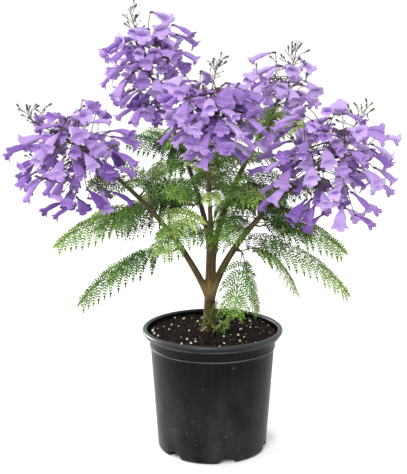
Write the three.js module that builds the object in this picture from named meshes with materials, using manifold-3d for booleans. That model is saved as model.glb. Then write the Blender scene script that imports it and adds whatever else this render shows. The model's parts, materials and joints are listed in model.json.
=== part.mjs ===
// A flowering jacaranda seedling in a round nursery pot. Millimetres, +Z up, front towards -Y.
// The origin is the centre of the pot's flat underside.
import * as THREE from "three";
import { mergeVertices } from "three/addons/utils/BufferGeometryUtils.js";
import Module from "manifold-3d";

const wasm = await Module();
wasm.setup();

// Driving dimensions: lengths in millimetres, angles in degrees

const GAP = 0.3; // left between neighbouring solids
const FINEST = 0.2; // smaller steps where two surfaces meet are smoothed away
const OVERRUN = 1; // how far a cutting shape runs past the face that it cuts

const POT = {
  height: 195,
  wall: 2.4,
  floor: 3,
  footRadius: 86,
  cornerRadius: 6,
  ledgeHeight: 166, // a step runs round the wall here
  ledgeRadius: 97,
  ledgeStep: 1.2,
  neckRadius: 100.5,
  rimRadius: 110,
  rimHeight: 10,
  rimRound: 3.2,
  sides: 40,
};
// Drain notches moulded into the pot's lower corner, between its feet
const NOTCH = { count: 6, first: -73.5, footWidth: 30, headWidth: 17, height: 10, innerRadius: 60, past: 20 };
const SOIL = { edge: 181, crown: 188, seatRadius: 20, shoulderOut: 0.45, shoulderUp: 0.55 };
const TRUNK = {
  foot: [-5, 0],
  head: [-2, 0, 329],
  footRadius: 9.2,
  headRadius: 7.6,
  flare: 3.6,
  flareLength: 14,
  sides: 12,
  steps: 12,
};

// Each bough leaves the trunk's axis at a height and climbs to its tip, steeper at its foot than at its end.
const BOUGHS = {
  left: { leaves: 240, rise: 66, arrive: 42, tip: [-151, -30, 442], rootRadius: 5.4, tipRadius: 2.9 },
  right: { leaves: 240, rise: 72, arrive: 42, tip: [119, -45, 425], rootRadius: 6.2, tipRadius: 3 },
  back_right: { leaves: 286, rise: 80, arrive: 48, tip: [97, 120, 520], rootRadius: 5.6, tipRadius: 2.7 },
  back_left: { leaves: 302, rise: 80, arrive: 50, tip: [-75, 100, 521], rootRadius: 4.6, tipRadius: 2.6 },
  centre: { leaves: 312, rise: 82, arrive: 62, tip: [-9, -70, 482], rootRadius: 4.2, tipRadius: 2.5 },
};
const BOUGH = { bend: 0.36, sides: 8, steps: 9 };
const LIMB_BALLS = 80; // mark the room that a limb takes up

// Each panicle is an ellipsoid of open flowers on the end of its bough, with unopened buds at its top.
const PANICLES = {
  left: { centre: [-204, -36, 456], reach: [116, 80, 80], top: [-270, -38, 536], flowers: 18 },
  right: { centre: [168, -60, 450], reach: [121, 80, 84], top: [224, -60, 538], flowers: 19 },
  back_left: { centre: [-100, 120, 588], reach: [74, 74, 78], top: [-116, 120, 676], flowers: 16 },
  back_right: { centre: [123, 140, 560], reach: [66, 66, 60], top: [136, 140, 622], flowers: 14 },
  centre: { centre: [0, -95, 530], reach: [75, 68, 70], top: [6, -95, 606], flowers: 16 },
};
const AXIS = { bend: 0.45, tipRadius: 1, sides: 5, steps: 5, balls: 24 };
// A side branch reaches a share of the way out and carries a few flowers, which nod and scatter a little.
const BRANCH = {
  reach: 0.45,
  highest: 0.8, // of the panicle's reach, above and below its middle
  lowest: -0.7,
  firstRoot: 0.12, // of the axis, for a branch at the foot of the panicle
  lastRoot: 0.8,
  rootRange: [0.08, 0.85],
  carries: 3,
  rise: 0.12,
  rootRadius: 2.6,
  tipRadius: 2.1,
  lastStalk: 0.96,
  stalkPitch: 0.12,
  balls: 16,
};
const FLOWER = {
  length: 50,
  tubeShare: 0.45, // of its length, up to where the tube starts to open
  rootRadius: 0.9,
  tubeRadius: 6,
  mouthRadius: 19,
  throatDepth: 10,
  petals: 5,
  depth: 0.93, // of the reach, for the innermost mouths
  nod: 0.53,
  scatter: 0.41,
  highest: 0.78,
  lowest: -0.97,
  stalkRoom: 3,
  balls: 5,
  stalkBalls: 12,
};
const BUD = { length: 10, radius: 2.6, sink: 1.6, perTwig: 2, pitch: 0.3, lean: 0.7, leanRise: 30 };
const BUD_TWIG = {
  count: 4,
  lowest: 0.84, // of the axis
  length: 20,
  shortest: 0.85,
  longest: 1.15,
  firstRise: 20,
  lastRise: 80,
  arch: 0.05,
  rootRadius: 0.9,
  tipRadius: 0.6,
};
const TWIG_SIDES = 3;

// Each leafy shoot is named after its limb, stands at a share of the limb's length, and fans its fronds round
// the way it faces, counted from +X.
const SHOOTS = {
  left_low: { at: 0.38, faces: 172, fan: 44, fronds: 2, rise: 2, reach: 156, droop: 0.53 },
  left_mid: { at: 0.64, faces: 167, fan: 58, fronds: 2, rise: 14, reach: 164, droop: 0.4 },
  left_high: { at: 0.78, faces: 62, fan: 66, fronds: 3, rise: 44, reach: 88, droop: 0.1 },
  right_low: { at: 0.39, faces: 30, fan: 48, fronds: 2, rise: 8, reach: 210, droop: 0.65 },
  right_front: { at: 0.42, faces: 300, fan: 100, fronds: 2, rise: -70, reach: 104, droop: 0.04 },
  right_mid: { at: 0.62, faces: 20, fan: 56, fronds: 2, rise: 12, reach: 166, droop: 0.46 },
  right_high: { at: 0.7, faces: 110, fan: 70, fronds: 3, rise: 40, reach: 90, droop: 0.1 },
  centre_low: { at: 0.3, faces: 226, fan: 96, fronds: 1, rise: 18, reach: 112, droop: 0.5 },
  centre_high: { at: 0.6, faces: 30, fan: 120, fronds: 2, rise: 14, reach: 84, droop: 0.28 },
  back_left_low: { at: 0.36, faces: 142, fan: 38, fronds: 3, rise: 8, reach: 176, droop: 0.36 },
  back_left_high: { at: 0.72, faces: 190, fan: 84, fronds: 3, rise: 26, reach: 98, droop: 0.2 },
  back_right_low: { at: 0.4, faces: 56, fan: 42, fronds: 3, rise: 8, reach: 172, droop: 0.36 },
  back_right_high: { at: 0.82, faces: 340, fan: 90, fronds: 3, rise: 40, reach: 92, droop: 0.16 },
  trunk_foot: { at: 0.05, faces: 300, fan: 60, fronds: 3, rise: 48, reach: 38, droop: 0.4 },
};
const SHOOT = { length: 13, rootRadius: 2.6, tipRadius: 3.2, sides: 4, lowestFrond: 0.8, highestFrond: 0.97 };
const FROND = {
  pairs: 6,
  firstPair: 0.2, // of its reach
  tipPitch: 0.5, // of the pitch of its pairs, left bare at its tip
  ribWidth: 2.6,
  tipWidth: 1.4,
  thickness: 0.01, // of its reach
  arch: 0.55,
  hang: 0.28,
  sink: 1,
  shortest: 0.86,
  wander: 8,
  aside: [0, 14, -14, 28, -28],
};
const PINNA = { length: 0.3, sweep: 58, firstSwell: 0.2, lastSwell: 0.97, tipRoom: 1.5, balls: 14 };

const FINISHES = {
  pot: { color: 0x24262a, roughness: 0.5 },
  soil: { color: 0x2a1f19, roughness: 0.95 },
  bark: { color: 0x6b5433, roughness: 0.85 },
  blossom: { color: 0x9a7fd6, roughness: 0.6 },
  leaf: { color: 0x4f8a34, roughness: 0.6 },
};

const UP = new THREE.Vector3(0, 0, 1);
const GOLDEN = Math.PI * (3 - Math.sqrt(5));

// Small helpers

const rad = THREE.MathUtils.degToRad;
const lerp = THREE.MathUtils.lerp;
const vec = (x, y, z) => new THREE.Vector3(x, y, z);

// Repeatable random numbers from 0 to 1
function seeded(seed) {
  let state = seed >>> 0;
  return () => {
    state = (state + 0x6d2b79f5) >>> 0;
    let t = state;
    t = Math.imul(t ^ (t >>> 15), t | 1);
    t ^= t + Math.imul(t ^ (t >>> 7), t | 61);
    return ((t ^ (t >>> 14)) >>> 0) / 4294967296;
  };
}

// The direction that points along a heading and rises above level
function aim(heading, rise) {
  const level = Math.cos(rise);
  return vec(level * Math.cos(heading), level * Math.sin(heading), Math.sin(rise));
}

// Solids

function solidOf(geometry) {
  const bare = geometry.clone();
  bare.deleteAttribute("normal");
  bare.deleteAttribute("uv");
  const merged = mergeVertices(bare, 1e-3);
  const index = merged.index.array;
  const kept = [];
  for (let i = 0; i < index.length; i += 3) {
    const [a, b, c] = index.slice(i, i + 3);
    if (a !== b && b !== c && c !== a) kept.push(a, b, c);
  }
  const vertProperties = merged.attributes.position.array;
  const triVerts = new Uint32Array(kept);
  return new wasm.Manifold(new wasm.Mesh({ numProp: 3, vertProperties, triVerts }));
}

// The outer skin of a solid's largest piece: small steps are smoothed, sealed hollows filled, scraps dropped.
function skinOf(solid) {
  return solid.simplify(FINEST).decompose().reduce((a, b) => (b.volume() > a.volume() ? b : a));
}

function meshOf(name, solid, finish) {
  const data = solid.getMesh();
  const geometry = new THREE.BufferGeometry();
  geometry.setAttribute("position", new THREE.BufferAttribute(data.vertProperties, 3));
  geometry.setIndex(new THREE.BufferAttribute(data.triVerts, 1));
  geometry.computeVertexNormals();
  const material = new THREE.MeshStandardMaterial({ ...finish, metalness: 0 });
  const mesh = new THREE.Mesh(geometry, material);
  mesh.name = name;
  return mesh;
}

// A round solid from points of radius and height
function turned(points, sides) {
  const profile = points.map(([radius, height]) => new THREE.Vector2(radius, height));
  return solidOf(new THREE.LatheGeometry(profile, sides).rotateX(Math.PI / 2));
}

// A cylinder bent along a curve, its radius given at each share of the length
function limbSolid(curve, radiusAt, sides, steps) {
  const geometry = new THREE.CylinderGeometry(1, 1, 1, sides, steps);
  const frames = curve.computeFrenetFrames(steps);
  const place = geometry.attributes.position;
  for (let i = 0; i < place.count; i++) {
    const t = place.getY(i) + 0.5;
    const step = Math.round(t * steps);
    const radius = radiusAt(t);
    const point = curve.getPointAt(t);
    point.addScaledVector(frames.normals[step], place.getX(i) * radius);
    point.addScaledVector(frames.binormals[step], -place.getZ(i) * radius);
    place.setXYZ(i, point.x, point.y, point.z);
  }
  return solidOf(geometry);
}

// Space: the room that each node already takes up, as balls

const taken = [];

function ballsAlong(curve, radiusAt, count) {
  return Array.from({ length: count }, (_, i) => {
    const t = (i + 0.5) / count;
    return { at: curve.getPointAt(t), radius: radiusAt(t) };
  });
}

function isFree(balls, owner) {
  return taken.every((other) => {
    if (other.owner === owner) return true;
    return balls.every((ball) => ball.at.distanceTo(other.at) > ball.radius + other.radius + GAP);
  });
}

function take(balls, owner) {
  balls.forEach((ball) => taken.push({ ...ball, owner }));
}

// Pot and soil

function notchCutters(grow) {
  const { count, first, footWidth, headWidth, height, innerRadius, past } = NOTCH;
  const foot = footWidth / 2 + grow;
  const head = headWidth / 2 + grow;
  const outline = new THREE.Shape([
    new THREE.Vector2(-foot, -OVERRUN),
    new THREE.Vector2(foot, -OVERRUN),
    new THREE.Vector2(head, height + grow),
    new THREE.Vector2(-head, height + grow),
  ]);
  const depth = POT.footRadius - innerRadius + past;
  return wasm.Manifold.union(
    Array.from({ length: count }, (_, i) => {
      const heading = rad(first + (360 / count) * i);
      const outward = aim(heading, 0);
      const across = UP.clone().cross(outward);
      const geometry = new THREE.ExtrudeGeometry(outline, { depth, bevelEnabled: false });
      const place = new THREE.Matrix4().makeBasis(across, UP, outward);
      place.setPosition(outward.clone().multiplyScalar(innerRadius - grow));
      return solidOf(geometry.applyMatrix4(place));
    }),
  );
}

// The radius of the pot's inner wall at a height
function insideRadius(height) {
  const slope = (POT.ledgeRadius - POT.footRadius) / (POT.ledgeHeight - POT.cornerRadius);
  return POT.footRadius + slope * (height - POT.cornerRadius) - POT.wall;
}

function potSolid() {
  const { height, footRadius, cornerRadius, ledgeHeight, ledgeRadius, ledgeStep } = POT;
  const { neckRadius, rimRadius, rimHeight, rimRound, floor, wall, sides } = POT;
  const rimFoot = height - rimHeight;
  const ease = cornerRadius * (1 - Math.SQRT1_2); // half way round the corner
  const outside = turned(
    [
      [0, 0],
      [footRadius - cornerRadius, 0],
      [footRadius - ease, ease],
      [footRadius, cornerRadius],
      [ledgeRadius, ledgeHeight],
      [ledgeRadius + ledgeStep, ledgeHeight + ledgeStep],
      [neckRadius, rimFoot - rimRound],
      [neckRadius + rimRound, rimFoot],
      [rimRadius - rimRound, rimFoot],
      [rimRadius, rimFoot + rimRound],
      [rimRadius, height - rimRound],
      [rimRadius - rimRound, height],
      [0, height],
    ],
    sides,
  );
  const inside = turned(
    [
      [0, floor],
      [insideRadius(floor), floor],
      [insideRadius(ledgeHeight), ledgeHeight],
      [neckRadius - wall, rimFoot],
      [neckRadius + rimRound, height + OVERRUN],
      [0, height + OVERRUN],
    ],
    sides,
  );
  return outside.subtract(notchCutters(0)).subtract(inside.subtract(notchCutters(wall)));
}

function soilSolid() {
  const { edge, crown, seatRadius, shoulderOut, shoulderUp } = SOIL;
  const bed = POT.floor + GAP;
  const mound = turned(
    [
      [0, bed],
      [insideRadius(bed) - GAP, bed],
      [insideRadius(edge) - GAP, edge],
      [lerp(seatRadius, insideRadius(edge), shoulderOut), lerp(edge, crown, shoulderUp)],
      [seatRadius, crown],
      [0, crown],
    ],
    POT.sides,
  );
  return mound.subtract(notchCutters(POT.wall + GAP));
}

// Trunk and boughs

function trunkLimb() {
  const { foot, head, footRadius, headRadius, flare, flareLength, sides, steps } = TRUNK;
  const ground = SOIL.crown + GAP;
  const height = head[2] - ground;
  const curve = new THREE.CubicBezierCurve3(
    vec(foot[0], foot[1], ground),
    vec(foot[0], foot[1], ground + height / 3),
    vec(head[0], head[1], ground + (height * 2) / 3),
    vec(...head),
  );
  const radiusAt = (t) => lerp(footRadius, headRadius, t) + flare * Math.exp((-t * height) / flareLength);
  return { curve, radiusAt, sides, steps };
}

function boughLimb(trunk, { leaves, rise, arrive, tip, rootRadius, tipRadius }) {
  const ground = SOIL.crown + GAP;
  const root = trunk.curve.getPointAt((leaves - ground) / (TRUNK.head[2] - ground));
  const end = vec(...tip);
  const span = root.distanceTo(end);
  const heading = Math.atan2(end.y - root.y, end.x - root.x);
  const curve = new THREE.CubicBezierCurve3(
    root,
    root.clone().addScaledVector(aim(heading, rad(rise)), span * BOUGH.bend),
    end.clone().addScaledVector(aim(heading, rad(arrive)), -span * BOUGH.bend),
    end,
  );
  const radiusAt = (t) => lerp(rootRadius, tipRadius, t);
  return { curve, radiusAt, sides: BOUGH.sides, steps: BOUGH.steps };
}

function grownLimb({ curve, radiusAt, sides, steps }, grow) {
  return limbSolid(curve, (t) => radiusAt(t) + grow, sides, steps);
}

// Twigs, flowers and leaves

function twigCurve(from, to, sag) {
  const middle = from.clone().lerp(to, 0.5);
  middle.z += sag * from.distanceTo(to);
  return new THREE.QuadraticBezierCurve3(from, middle, to);
}

function twigSolid(curve, rootRadius, tipRadius, sides) {
  return limbSolid(curve, (t) => lerp(rootRadius, tipRadius, t), sides, 1);
}

// A five-sided trumpet on its stalk: the stalk widens from its root to the tube, which opens at the mouth.
function flowerSolid(root, mouth, direction) {
  const { length, tubeShare, rootRadius, tubeRadius, mouthRadius, throatDepth, petals } = FLOWER;
  const flare = length * (1 - tubeShare);
  const waist = mouth.clone().addScaledVector(direction, -flare);
  const stalk = waist.clone().sub(root);
  const profile = [
    [0, -stalk.length()],
    [rootRadius, -stalk.length()],
    [tubeRadius, 0],
    [mouthRadius, flare],
    [0, flare - throatDepth],
  ].map(([radius, height]) => new THREE.Vector2(radius, height));
  const geometry = new THREE.LatheGeometry(profile, petals);
  const place = geometry.attributes.position;
  const turn = new THREE.Quaternion().setFromUnitVectors(vec(0, 1, 0), direction);
  stalk.normalize();
  for (let i = 0; i < place.count; i++) {
    const height = place.getY(i);
    const point = vec(place.getX(i), 0, place.getZ(i)).applyQuaternion(turn);
    point.add(waist).addScaledVector(height < 0 ? stalk : direction, height);
    place.setXYZ(i, point.x, point.y, point.z);
  }
  return solidOf(geometry);
}

// An eight-sided bud from its root along a direction
function budSolid(root, direction) {
  const geometry = new THREE.OctahedronGeometry(1).scale(BUD.radius, BUD.length / 2, BUD.radius);
  geometry.applyQuaternion(new THREE.Quaternion().setFromUnitVectors(vec(0, 1, 0), direction));
  const middle = root.clone().addScaledVector(direction, BUD.length / 2 - BUD.sink);
  return solidOf(geometry.translate(middle.x, middle.y, middle.z));
}

// Even directions over a ball, from a highest to a lowest height
function spread(index, count, highest, lowest, turn) {
  const z = lerp(highest, lowest, (index + 0.5) / count);
  const level = Math.sqrt(1 - z * z);
  const angle = index * GOLDEN + turn;
  return vec(level * Math.cos(angle), level * Math.sin(angle), z);
}

// Panicles

function budSprays(axis, random) {
  const { count, lowest, length, shortest, longest, firstRise, lastRise } = BUD_TWIG;
  const { arch, rootRadius, tipRadius } = BUD_TWIG;
  const pieces = [];
  for (let i = 0; i < count; i++) {
    const share = i / (count - 1);
    const from = axis.getPointAt(lerp(lowest, 1, share));
    const direction = aim(i * GOLDEN + random(), rad(lerp(firstRise, lastRise, share)));
    const to = from.clone().addScaledVector(direction, length * lerp(shortest, longest, random()));
    pieces.push(twigSolid(twigCurve(from, to, arch), rootRadius, tipRadius, TWIG_SIDES));
    for (let j = 0; j < BUD.perTwig; j++) {
      const lean = aim(j * GOLDEN * 2 + random(), rad(BUD.leanRise)).multiplyScalar(BUD.lean);
      pieces.push(budSolid(from.clone().lerp(to, 1 - j * BUD.pitch), lean.add(direction).normalize()));
    }
  }
  return pieces;
}

function panicleSolid(name, { centre, reach, top, flowers }, bough, seed) {
  const random = seeded(seed);
  const middle = vec(...centre);
  const size = vec(...reach);
  const onward = bough.curve.getTangentAt(1);
  const root = bough.curve.getPointAt(1).addScaledVector(onward, GAP);
  const crown = vec(...top);
  const bend = root.clone().addScaledVector(onward, root.distanceTo(crown) * AXIS.bend);
  const axis = new THREE.QuadraticBezierCurve3(root, bend, crown);
  const axisRadius = bough.radiusAt(1);
  const stalkSolid = limbSolid(axis, (t) => lerp(axisRadius, AXIS.tipRadius, t), AXIS.sides, AXIS.steps);
  const pieces = [stalkSolid, ...budSprays(axis, random)];
  take(ballsAlong(axis, () => axisRadius, AXIS.balls), name);

  const branches = [];
  const branchCount = Math.round(flowers / BRANCH.carries);
  for (let i = 0; i < branchCount; i++) {
    const outward = spread(i, branchCount, BRANCH.highest, BRANCH.lowest, seed);
    const end = middle.clone().addScaledVector(outward.multiply(size), BRANCH.reach);
    const height = (end.z - middle.z) / size.z + 0.5;
    const share = THREE.MathUtils.clamp(lerp(BRANCH.firstRoot, BRANCH.lastRoot, height), ...BRANCH.rootRange);
    const curve = twigCurve(axis.getPointAt(share), end, BRANCH.rise);
    pieces.push(twigSolid(curve, BRANCH.rootRadius, BRANCH.tipRadius, TWIG_SIDES));
    take(ballsAlong(curve, () => BRANCH.rootRadius, BRANCH.balls), name);
    branches.push({ curve, end, stalks: 0 });
  }

  // Each flower hangs from the nearest branch.
  for (let i = 0; i < flowers; i++) {
    const outward = spread(i, flowers, FLOWER.highest, FLOWER.lowest, seed);
    const depth = lerp(FLOWER.depth, 1, random());
    const mouth = middle.clone().addScaledVector(outward.clone().multiply(size), depth);
    const wander = vec(random() - 0.5, random() - 0.5, random() - 0.5).multiplyScalar(FLOWER.scatter);
    const direction = outward.add(wander).addScaledVector(UP, -FLOWER.nod).normalize();
    const foot = mouth.clone().addScaledVector(direction, -FLOWER.length);
    const roomAt = (t) => lerp(FLOWER.stalkRoom, FLOWER.mouthRadius, t * t);
    const balls = ballsAlong(new THREE.LineCurve3(foot, mouth), roomAt, FLOWER.balls);
    if (!isFree(balls, name)) continue;
    const branch = branches.reduce((a, b) => (b.end.distanceTo(foot) < a.end.distanceTo(foot) ? b : a));
    const stalkRoot = branch.curve.getPointAt(BRANCH.lastStalk - BRANCH.stalkPitch * branch.stalks);
    branch.stalks += 1;
    take(balls, name);
    take(ballsAlong(new THREE.LineCurve3(stalkRoot, foot), () => FLOWER.stalkRoom, FLOWER.stalkBalls), name);
    pieces.push(flowerSolid(stalkRoot, mouth, direction));
  }
  return skinOf(wasm.Manifold.union(pieces));
}

// Leafy shoots

// The arching midrib of a frond
function rachisOf(root, heading, rise, reach, droop) {
  const out = aim(heading, rise);
  const tip = root.clone().addScaledVector(out, reach);
  tip.z -= droop * reach;
  return new THREE.QuadraticBezierCurve3(root, root.clone().addScaledVector(out, reach * FROND.arch), tip);
}

// A frond is drawn flat, with a tooth for each pinna that has room, and then bent along its rachis.
function frondSolid(rachis, heading, reach, owner) {
  const side = aim(heading + Math.PI / 2, 0);
  const bend = (x, y, lift) => {
    const share = THREE.MathUtils.clamp(x / reach, 0, 1);
    const forward = rachis.getTangentAt(share);
    const point = rachis.getPointAt(share).addScaledVector(forward, x - share * reach);
    point.addScaledVector(side, y).addScaledVector(forward.clone().cross(side), lift);
    point.z -= FROND.hang * Math.abs(y);
    return point;
  };
  const sweep = rad(PINNA.sweep);
  const pitch = (reach * (1 - FROND.firstPair)) / (FROND.pairs + FROND.tipPitch);
  const ribAt = (x) => lerp(FROND.ribWidth, FROND.tipWidth, x / reach) / 2;
  const edge = (away) => {
    const points = [new THREE.Vector2(-FROND.sink, away * ribAt(0))];
    for (let i = 0; i < FROND.pairs; i++) {
      const x = reach * FROND.firstPair + pitch * i;
      points.push(new THREE.Vector2(x, away * ribAt(x)));
      const swell = Math.sin(Math.PI * lerp(PINNA.firstSwell, PINNA.lastSwell, x / reach));
      const length = reach * PINNA.length * swell;
      const end = new THREE.Vector2(x + length * Math.cos(sweep), away * length * Math.sin(sweep));
      const line = new THREE.LineCurve3(bend(x + pitch / 2, 0, 0), bend(end.x, end.y, 0));
      const balls = ballsAlong(line, (t) => lerp(pitch / 2, PINNA.tipRoom, t), PINNA.balls);
      if (!isFree(balls, owner)) continue;
      take(balls, owner);
      points.push(end);
    }
    return points;
  };
  const outline = new THREE.Shape([...edge(-1), new THREE.Vector2(reach, 0), ...edge(1).reverse()]);
  const depth = reach * FROND.thickness;
  const geometry = new THREE.ExtrudeGeometry(outline, { depth, bevelEnabled: false });
  const place = geometry.attributes.position;
  for (let i = 0; i < place.count; i++) {
    const point = bend(place.getX(i), place.getY(i), place.getZ(i) - depth / 2);
    place.setXYZ(i, point.x, point.y, point.z);
  }
  return solidOf(geometry);
}

// A shoot stands square to its limb, on the side that its fronds head for.
function shootSolid(name, plan, limb, seed) {
  const random = seeded(seed);
  const start = limb.curve.getPointAt(plan.at);
  const along = limb.curve.getTangentAt(plan.at);
  const out = aim(rad(plan.faces), rad(plan.rise));
  out.addScaledVector(along, -out.dot(along)).normalize();
  const end = start.clone().addScaledVector(out, limb.radiusAt(plan.at) + SHOOT.length);
  const stem = new THREE.LineCurve3(start, end);
  const pieces = [twigSolid(stem, SHOOT.rootRadius, SHOOT.tipRadius, SHOOT.sides)];
  for (let i = 0; i < plan.fronds; i++) {
    const turn = plan.fan * (i - (plan.fronds - 1) / 2);
    const rise = rad(plan.rise + lerp(-FROND.wander, FROND.wander, random()));
    const reach = plan.reach * lerp(FROND.shortest, 1, random());
    const root = stem.getPointAt(lerp(SHOOT.lowestFrond, SHOOT.highestFrond, i / plan.fronds));
    // A frond with no room turns aside, and is left out where no turn helps.
    for (const aside of FROND.aside) {
      const heading = rad(plan.faces + turn + aside);
      const rachis = rachisOf(root, heading, rise, reach, plan.droop);
      const stalk = ballsAlong(rachis, () => FROND.ribWidth / 2, Math.ceil(reach / FROND.ribWidth));
      if (!isFree(stalk, name)) continue;
      take(stalk, name);
      pieces.push(frondSolid(rachis, heading, reach, name));
      break;
    }
  }
  return wasm.Manifold.union(pieces);
}

// Assembly

const plant = new THREE.Group();
plant.add(meshOf("pot", potSolid(), FINISHES.pot));
plant.add(meshOf("soil", soilSolid(), FINISHES.soil));

// Each limb is cut clear of the limbs before it, and each shoot clear of them all.
const limbs = { trunk: trunkLimb() };
Object.entries(BOUGHS).forEach(([name, plan]) => (limbs[name] = boughLimb(limbs.trunk, plan)));
const limbRoom = [];
const cleared = (solid) => skinOf(limbRoom.reduce((rest, room) => rest.subtract(room), solid));

for (const [name, limb] of Object.entries(limbs)) {
  const node = name === "trunk" ? name : `bough_${name}`;
  plant.add(meshOf(node, cleared(grownLimb(limb, 0)), FINISHES.bark));
  limbRoom.push(grownLimb(limb, GAP));
  take(ballsAlong(limb.curve, limb.radiusAt, LIMB_BALLS), node);
}
Object.entries(PANICLES).forEach(([name, plan], index) => {
  const node = `panicle_${name}`;
  plant.add(meshOf(node, panicleSolid(node, plan, limbs[name], index + 1), FINISHES.blossom));
});
Object.entries(SHOOTS).forEach(([name, plan], index) => {
  const node = `foliage_${name}`;
  const limb = limbs[name.slice(0, name.lastIndexOf("_"))];
  const shoot = shootSolid(node, plan, limb, index + 1);
  plant.add(meshOf(node, cleared(shoot), FINISHES.leaf));
});

export default plant;
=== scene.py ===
# %% [markdown]
# # A flowering jacaranda seedling in a nursery pot
# The solid model gives every limb, flower head and leafy shoot its place. This lesson loads it as a fixed
# frame and grows the fine plant over it: bark first, then the pot and its soil, and last the twigs, trumpet
# flowers, buds and ferny leaves. The scene is in metres, and many plans are written in millimetres. +Z is
# up, and the front of the plant faces -Y.

# %% Load the frame
import json
import math

import bpy
import numpy as np
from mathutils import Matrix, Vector, noise
from mathutils.kdtree import KDTree

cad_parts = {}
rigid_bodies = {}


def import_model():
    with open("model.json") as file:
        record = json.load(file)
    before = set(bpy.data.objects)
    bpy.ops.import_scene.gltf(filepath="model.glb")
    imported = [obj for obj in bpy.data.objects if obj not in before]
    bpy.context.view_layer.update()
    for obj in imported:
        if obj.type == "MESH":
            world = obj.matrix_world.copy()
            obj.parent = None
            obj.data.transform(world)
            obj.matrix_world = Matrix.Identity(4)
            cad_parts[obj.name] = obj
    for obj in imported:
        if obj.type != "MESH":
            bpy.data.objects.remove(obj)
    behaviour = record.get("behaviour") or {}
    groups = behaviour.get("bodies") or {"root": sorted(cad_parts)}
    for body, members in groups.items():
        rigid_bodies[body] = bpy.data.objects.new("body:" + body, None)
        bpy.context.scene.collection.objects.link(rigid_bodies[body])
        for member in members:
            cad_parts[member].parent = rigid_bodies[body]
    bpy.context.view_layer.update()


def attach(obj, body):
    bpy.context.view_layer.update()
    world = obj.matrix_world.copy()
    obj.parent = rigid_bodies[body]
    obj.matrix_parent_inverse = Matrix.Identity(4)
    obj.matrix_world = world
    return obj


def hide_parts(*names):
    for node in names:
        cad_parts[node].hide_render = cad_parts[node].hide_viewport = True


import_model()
BODY = "root"

# %% [markdown]
# The camera comes first, so that every later piece can be judged from the photograph's own place. Its focal
# length was found from the rim and the foot of the pot: both are circles, and how flat they look fixes the
# tilt.

# %% Camera
IMAGE_HEIGHT = 474
FOCAL_PIXELS = 1093
SENSOR = 36
CAMERA_PLACE = (-0.014, -1.65, 0.68)
CAMERA_PITCH = 11.7
camera_data = bpy.data.cameras.new("photo_camera")
camera_data.sensor_fit = "VERTICAL"
camera_data.sensor_height = SENSOR
camera_data.lens = FOCAL_PIXELS * SENSOR / IMAGE_HEIGHT
camera = bpy.data.objects.new("photo_camera", camera_data)
camera.location = CAMERA_PLACE
camera.rotation_euler = (math.radians(90 - CAMERA_PITCH), 0, 0)
bpy.context.scene.collection.objects.link(camera)
bpy.context.scene.camera = camera
print("camera lens", round(camera_data.lens, 1), "mm")

# %% [markdown]
# A plant follows rules, so the lesson needs a few small ones. Random numbers come from a seeded rule that
# gives the same plant on every run. A path is a Bezier curve that is walked by its length, as an ant would
# walk a twig.

# %% Rules of growth
UP = np.array((0.0, 0.0, 1.0))
GOLDEN = math.pi * (3 - math.sqrt(5))
WORD = 0xFFFFFFFF
SEED_STEP = 0x6D2B79F5
PATH_SAMPLES = 61
TANGENT_STEP = 0.02


def seeded(seed):
    """Repeatable random numbers from 0 to 1."""
    state = seed

    def draw():
        nonlocal state
        state = (state + SEED_STEP) & WORD
        t = ((state ^ (state >> 15)) * (state | 1)) & WORD
        t ^= (t + (((t ^ (t >> 7)) * (t | 61)) & WORD)) & WORD
        return ((t ^ (t >> 14)) & WORD) / 2**32

    return draw


def lerp(a, b, share):
    return a + (b - a) * share


def unit(vector):
    return vector / np.linalg.norm(vector)


def aim(heading, rise):
    """The direction that points along a heading and rises above level, both in radians."""
    level = math.cos(rise)
    return np.array((level * math.cos(heading), level * math.sin(heading), math.sin(rise)))


def spread(index, count, highest, lowest, turn):
    """Even directions over a ball, from a highest to a lowest height."""
    z = lerp(highest, lowest, (index + 0.5) / count)
    level = math.sqrt(1 - z * z)
    angle = index * GOLDEN + turn
    return np.array((level * math.cos(angle), level * math.sin(angle), z))


class Path:
    """A Bezier curve walked by its length, from 0 at its root to 1 at its tip."""

    def __init__(self, *controls):
        share = np.linspace(0, 1, PATH_SAMPLES)[:, None]
        points = [np.asarray(control, float) + 0 * share for control in controls]
        while len(points) > 1:
            points = [lerp(a, b, share) for a, b in zip(points, points[1:])]
        self.points = points[0]
        steps = np.linalg.norm(np.diff(self.points, axis=0), axis=1)
        self.length = steps.sum()
        self.shares = np.concatenate(([0], np.cumsum(steps))) / self.length

    def at(self, share):
        return np.stack([np.interp(share, self.shares, self.points[:, k]) for k in range(3)], axis=-1)

    def along(self, share):
        return unit(self.at(min(share + TANGENT_STEP, 1)) - self.at(max(share - TANGENT_STEP, 0)))


first_draw = seeded(1)
print("first draws of seed 1:", [round(first_draw(), 4) for _ in range(3)])

# %% [markdown]
# Blender's nodes make both finishes and repeated shapes. Small helpers keep the node code short: the first
# adds a node and joins it by the names of its sockets, and the last two turn an object that carries a
# Geometry Nodes tree into a plain mesh, because the export drops instances.

# %% Node helpers
def add(tree, kind, settings=None, **sockets):
    """Adds a node, and links or sets its inputs by name, or by number as n0, n1 and so on."""
    node = tree.nodes.new(kind)
    for key, value in (settings or {}).items():
        setattr(node, key, value)
    for key, value in sockets.items():
        is_number = key[0] == "n" and key[1:].isdigit()
        socket = node.inputs[int(key[1:]) if is_number else key.replace("_", " ")]
        if isinstance(value, bpy.types.NodeSocket):
            tree.links.new(value, socket)
        else:
            socket.default_value = value
    return node


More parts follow.
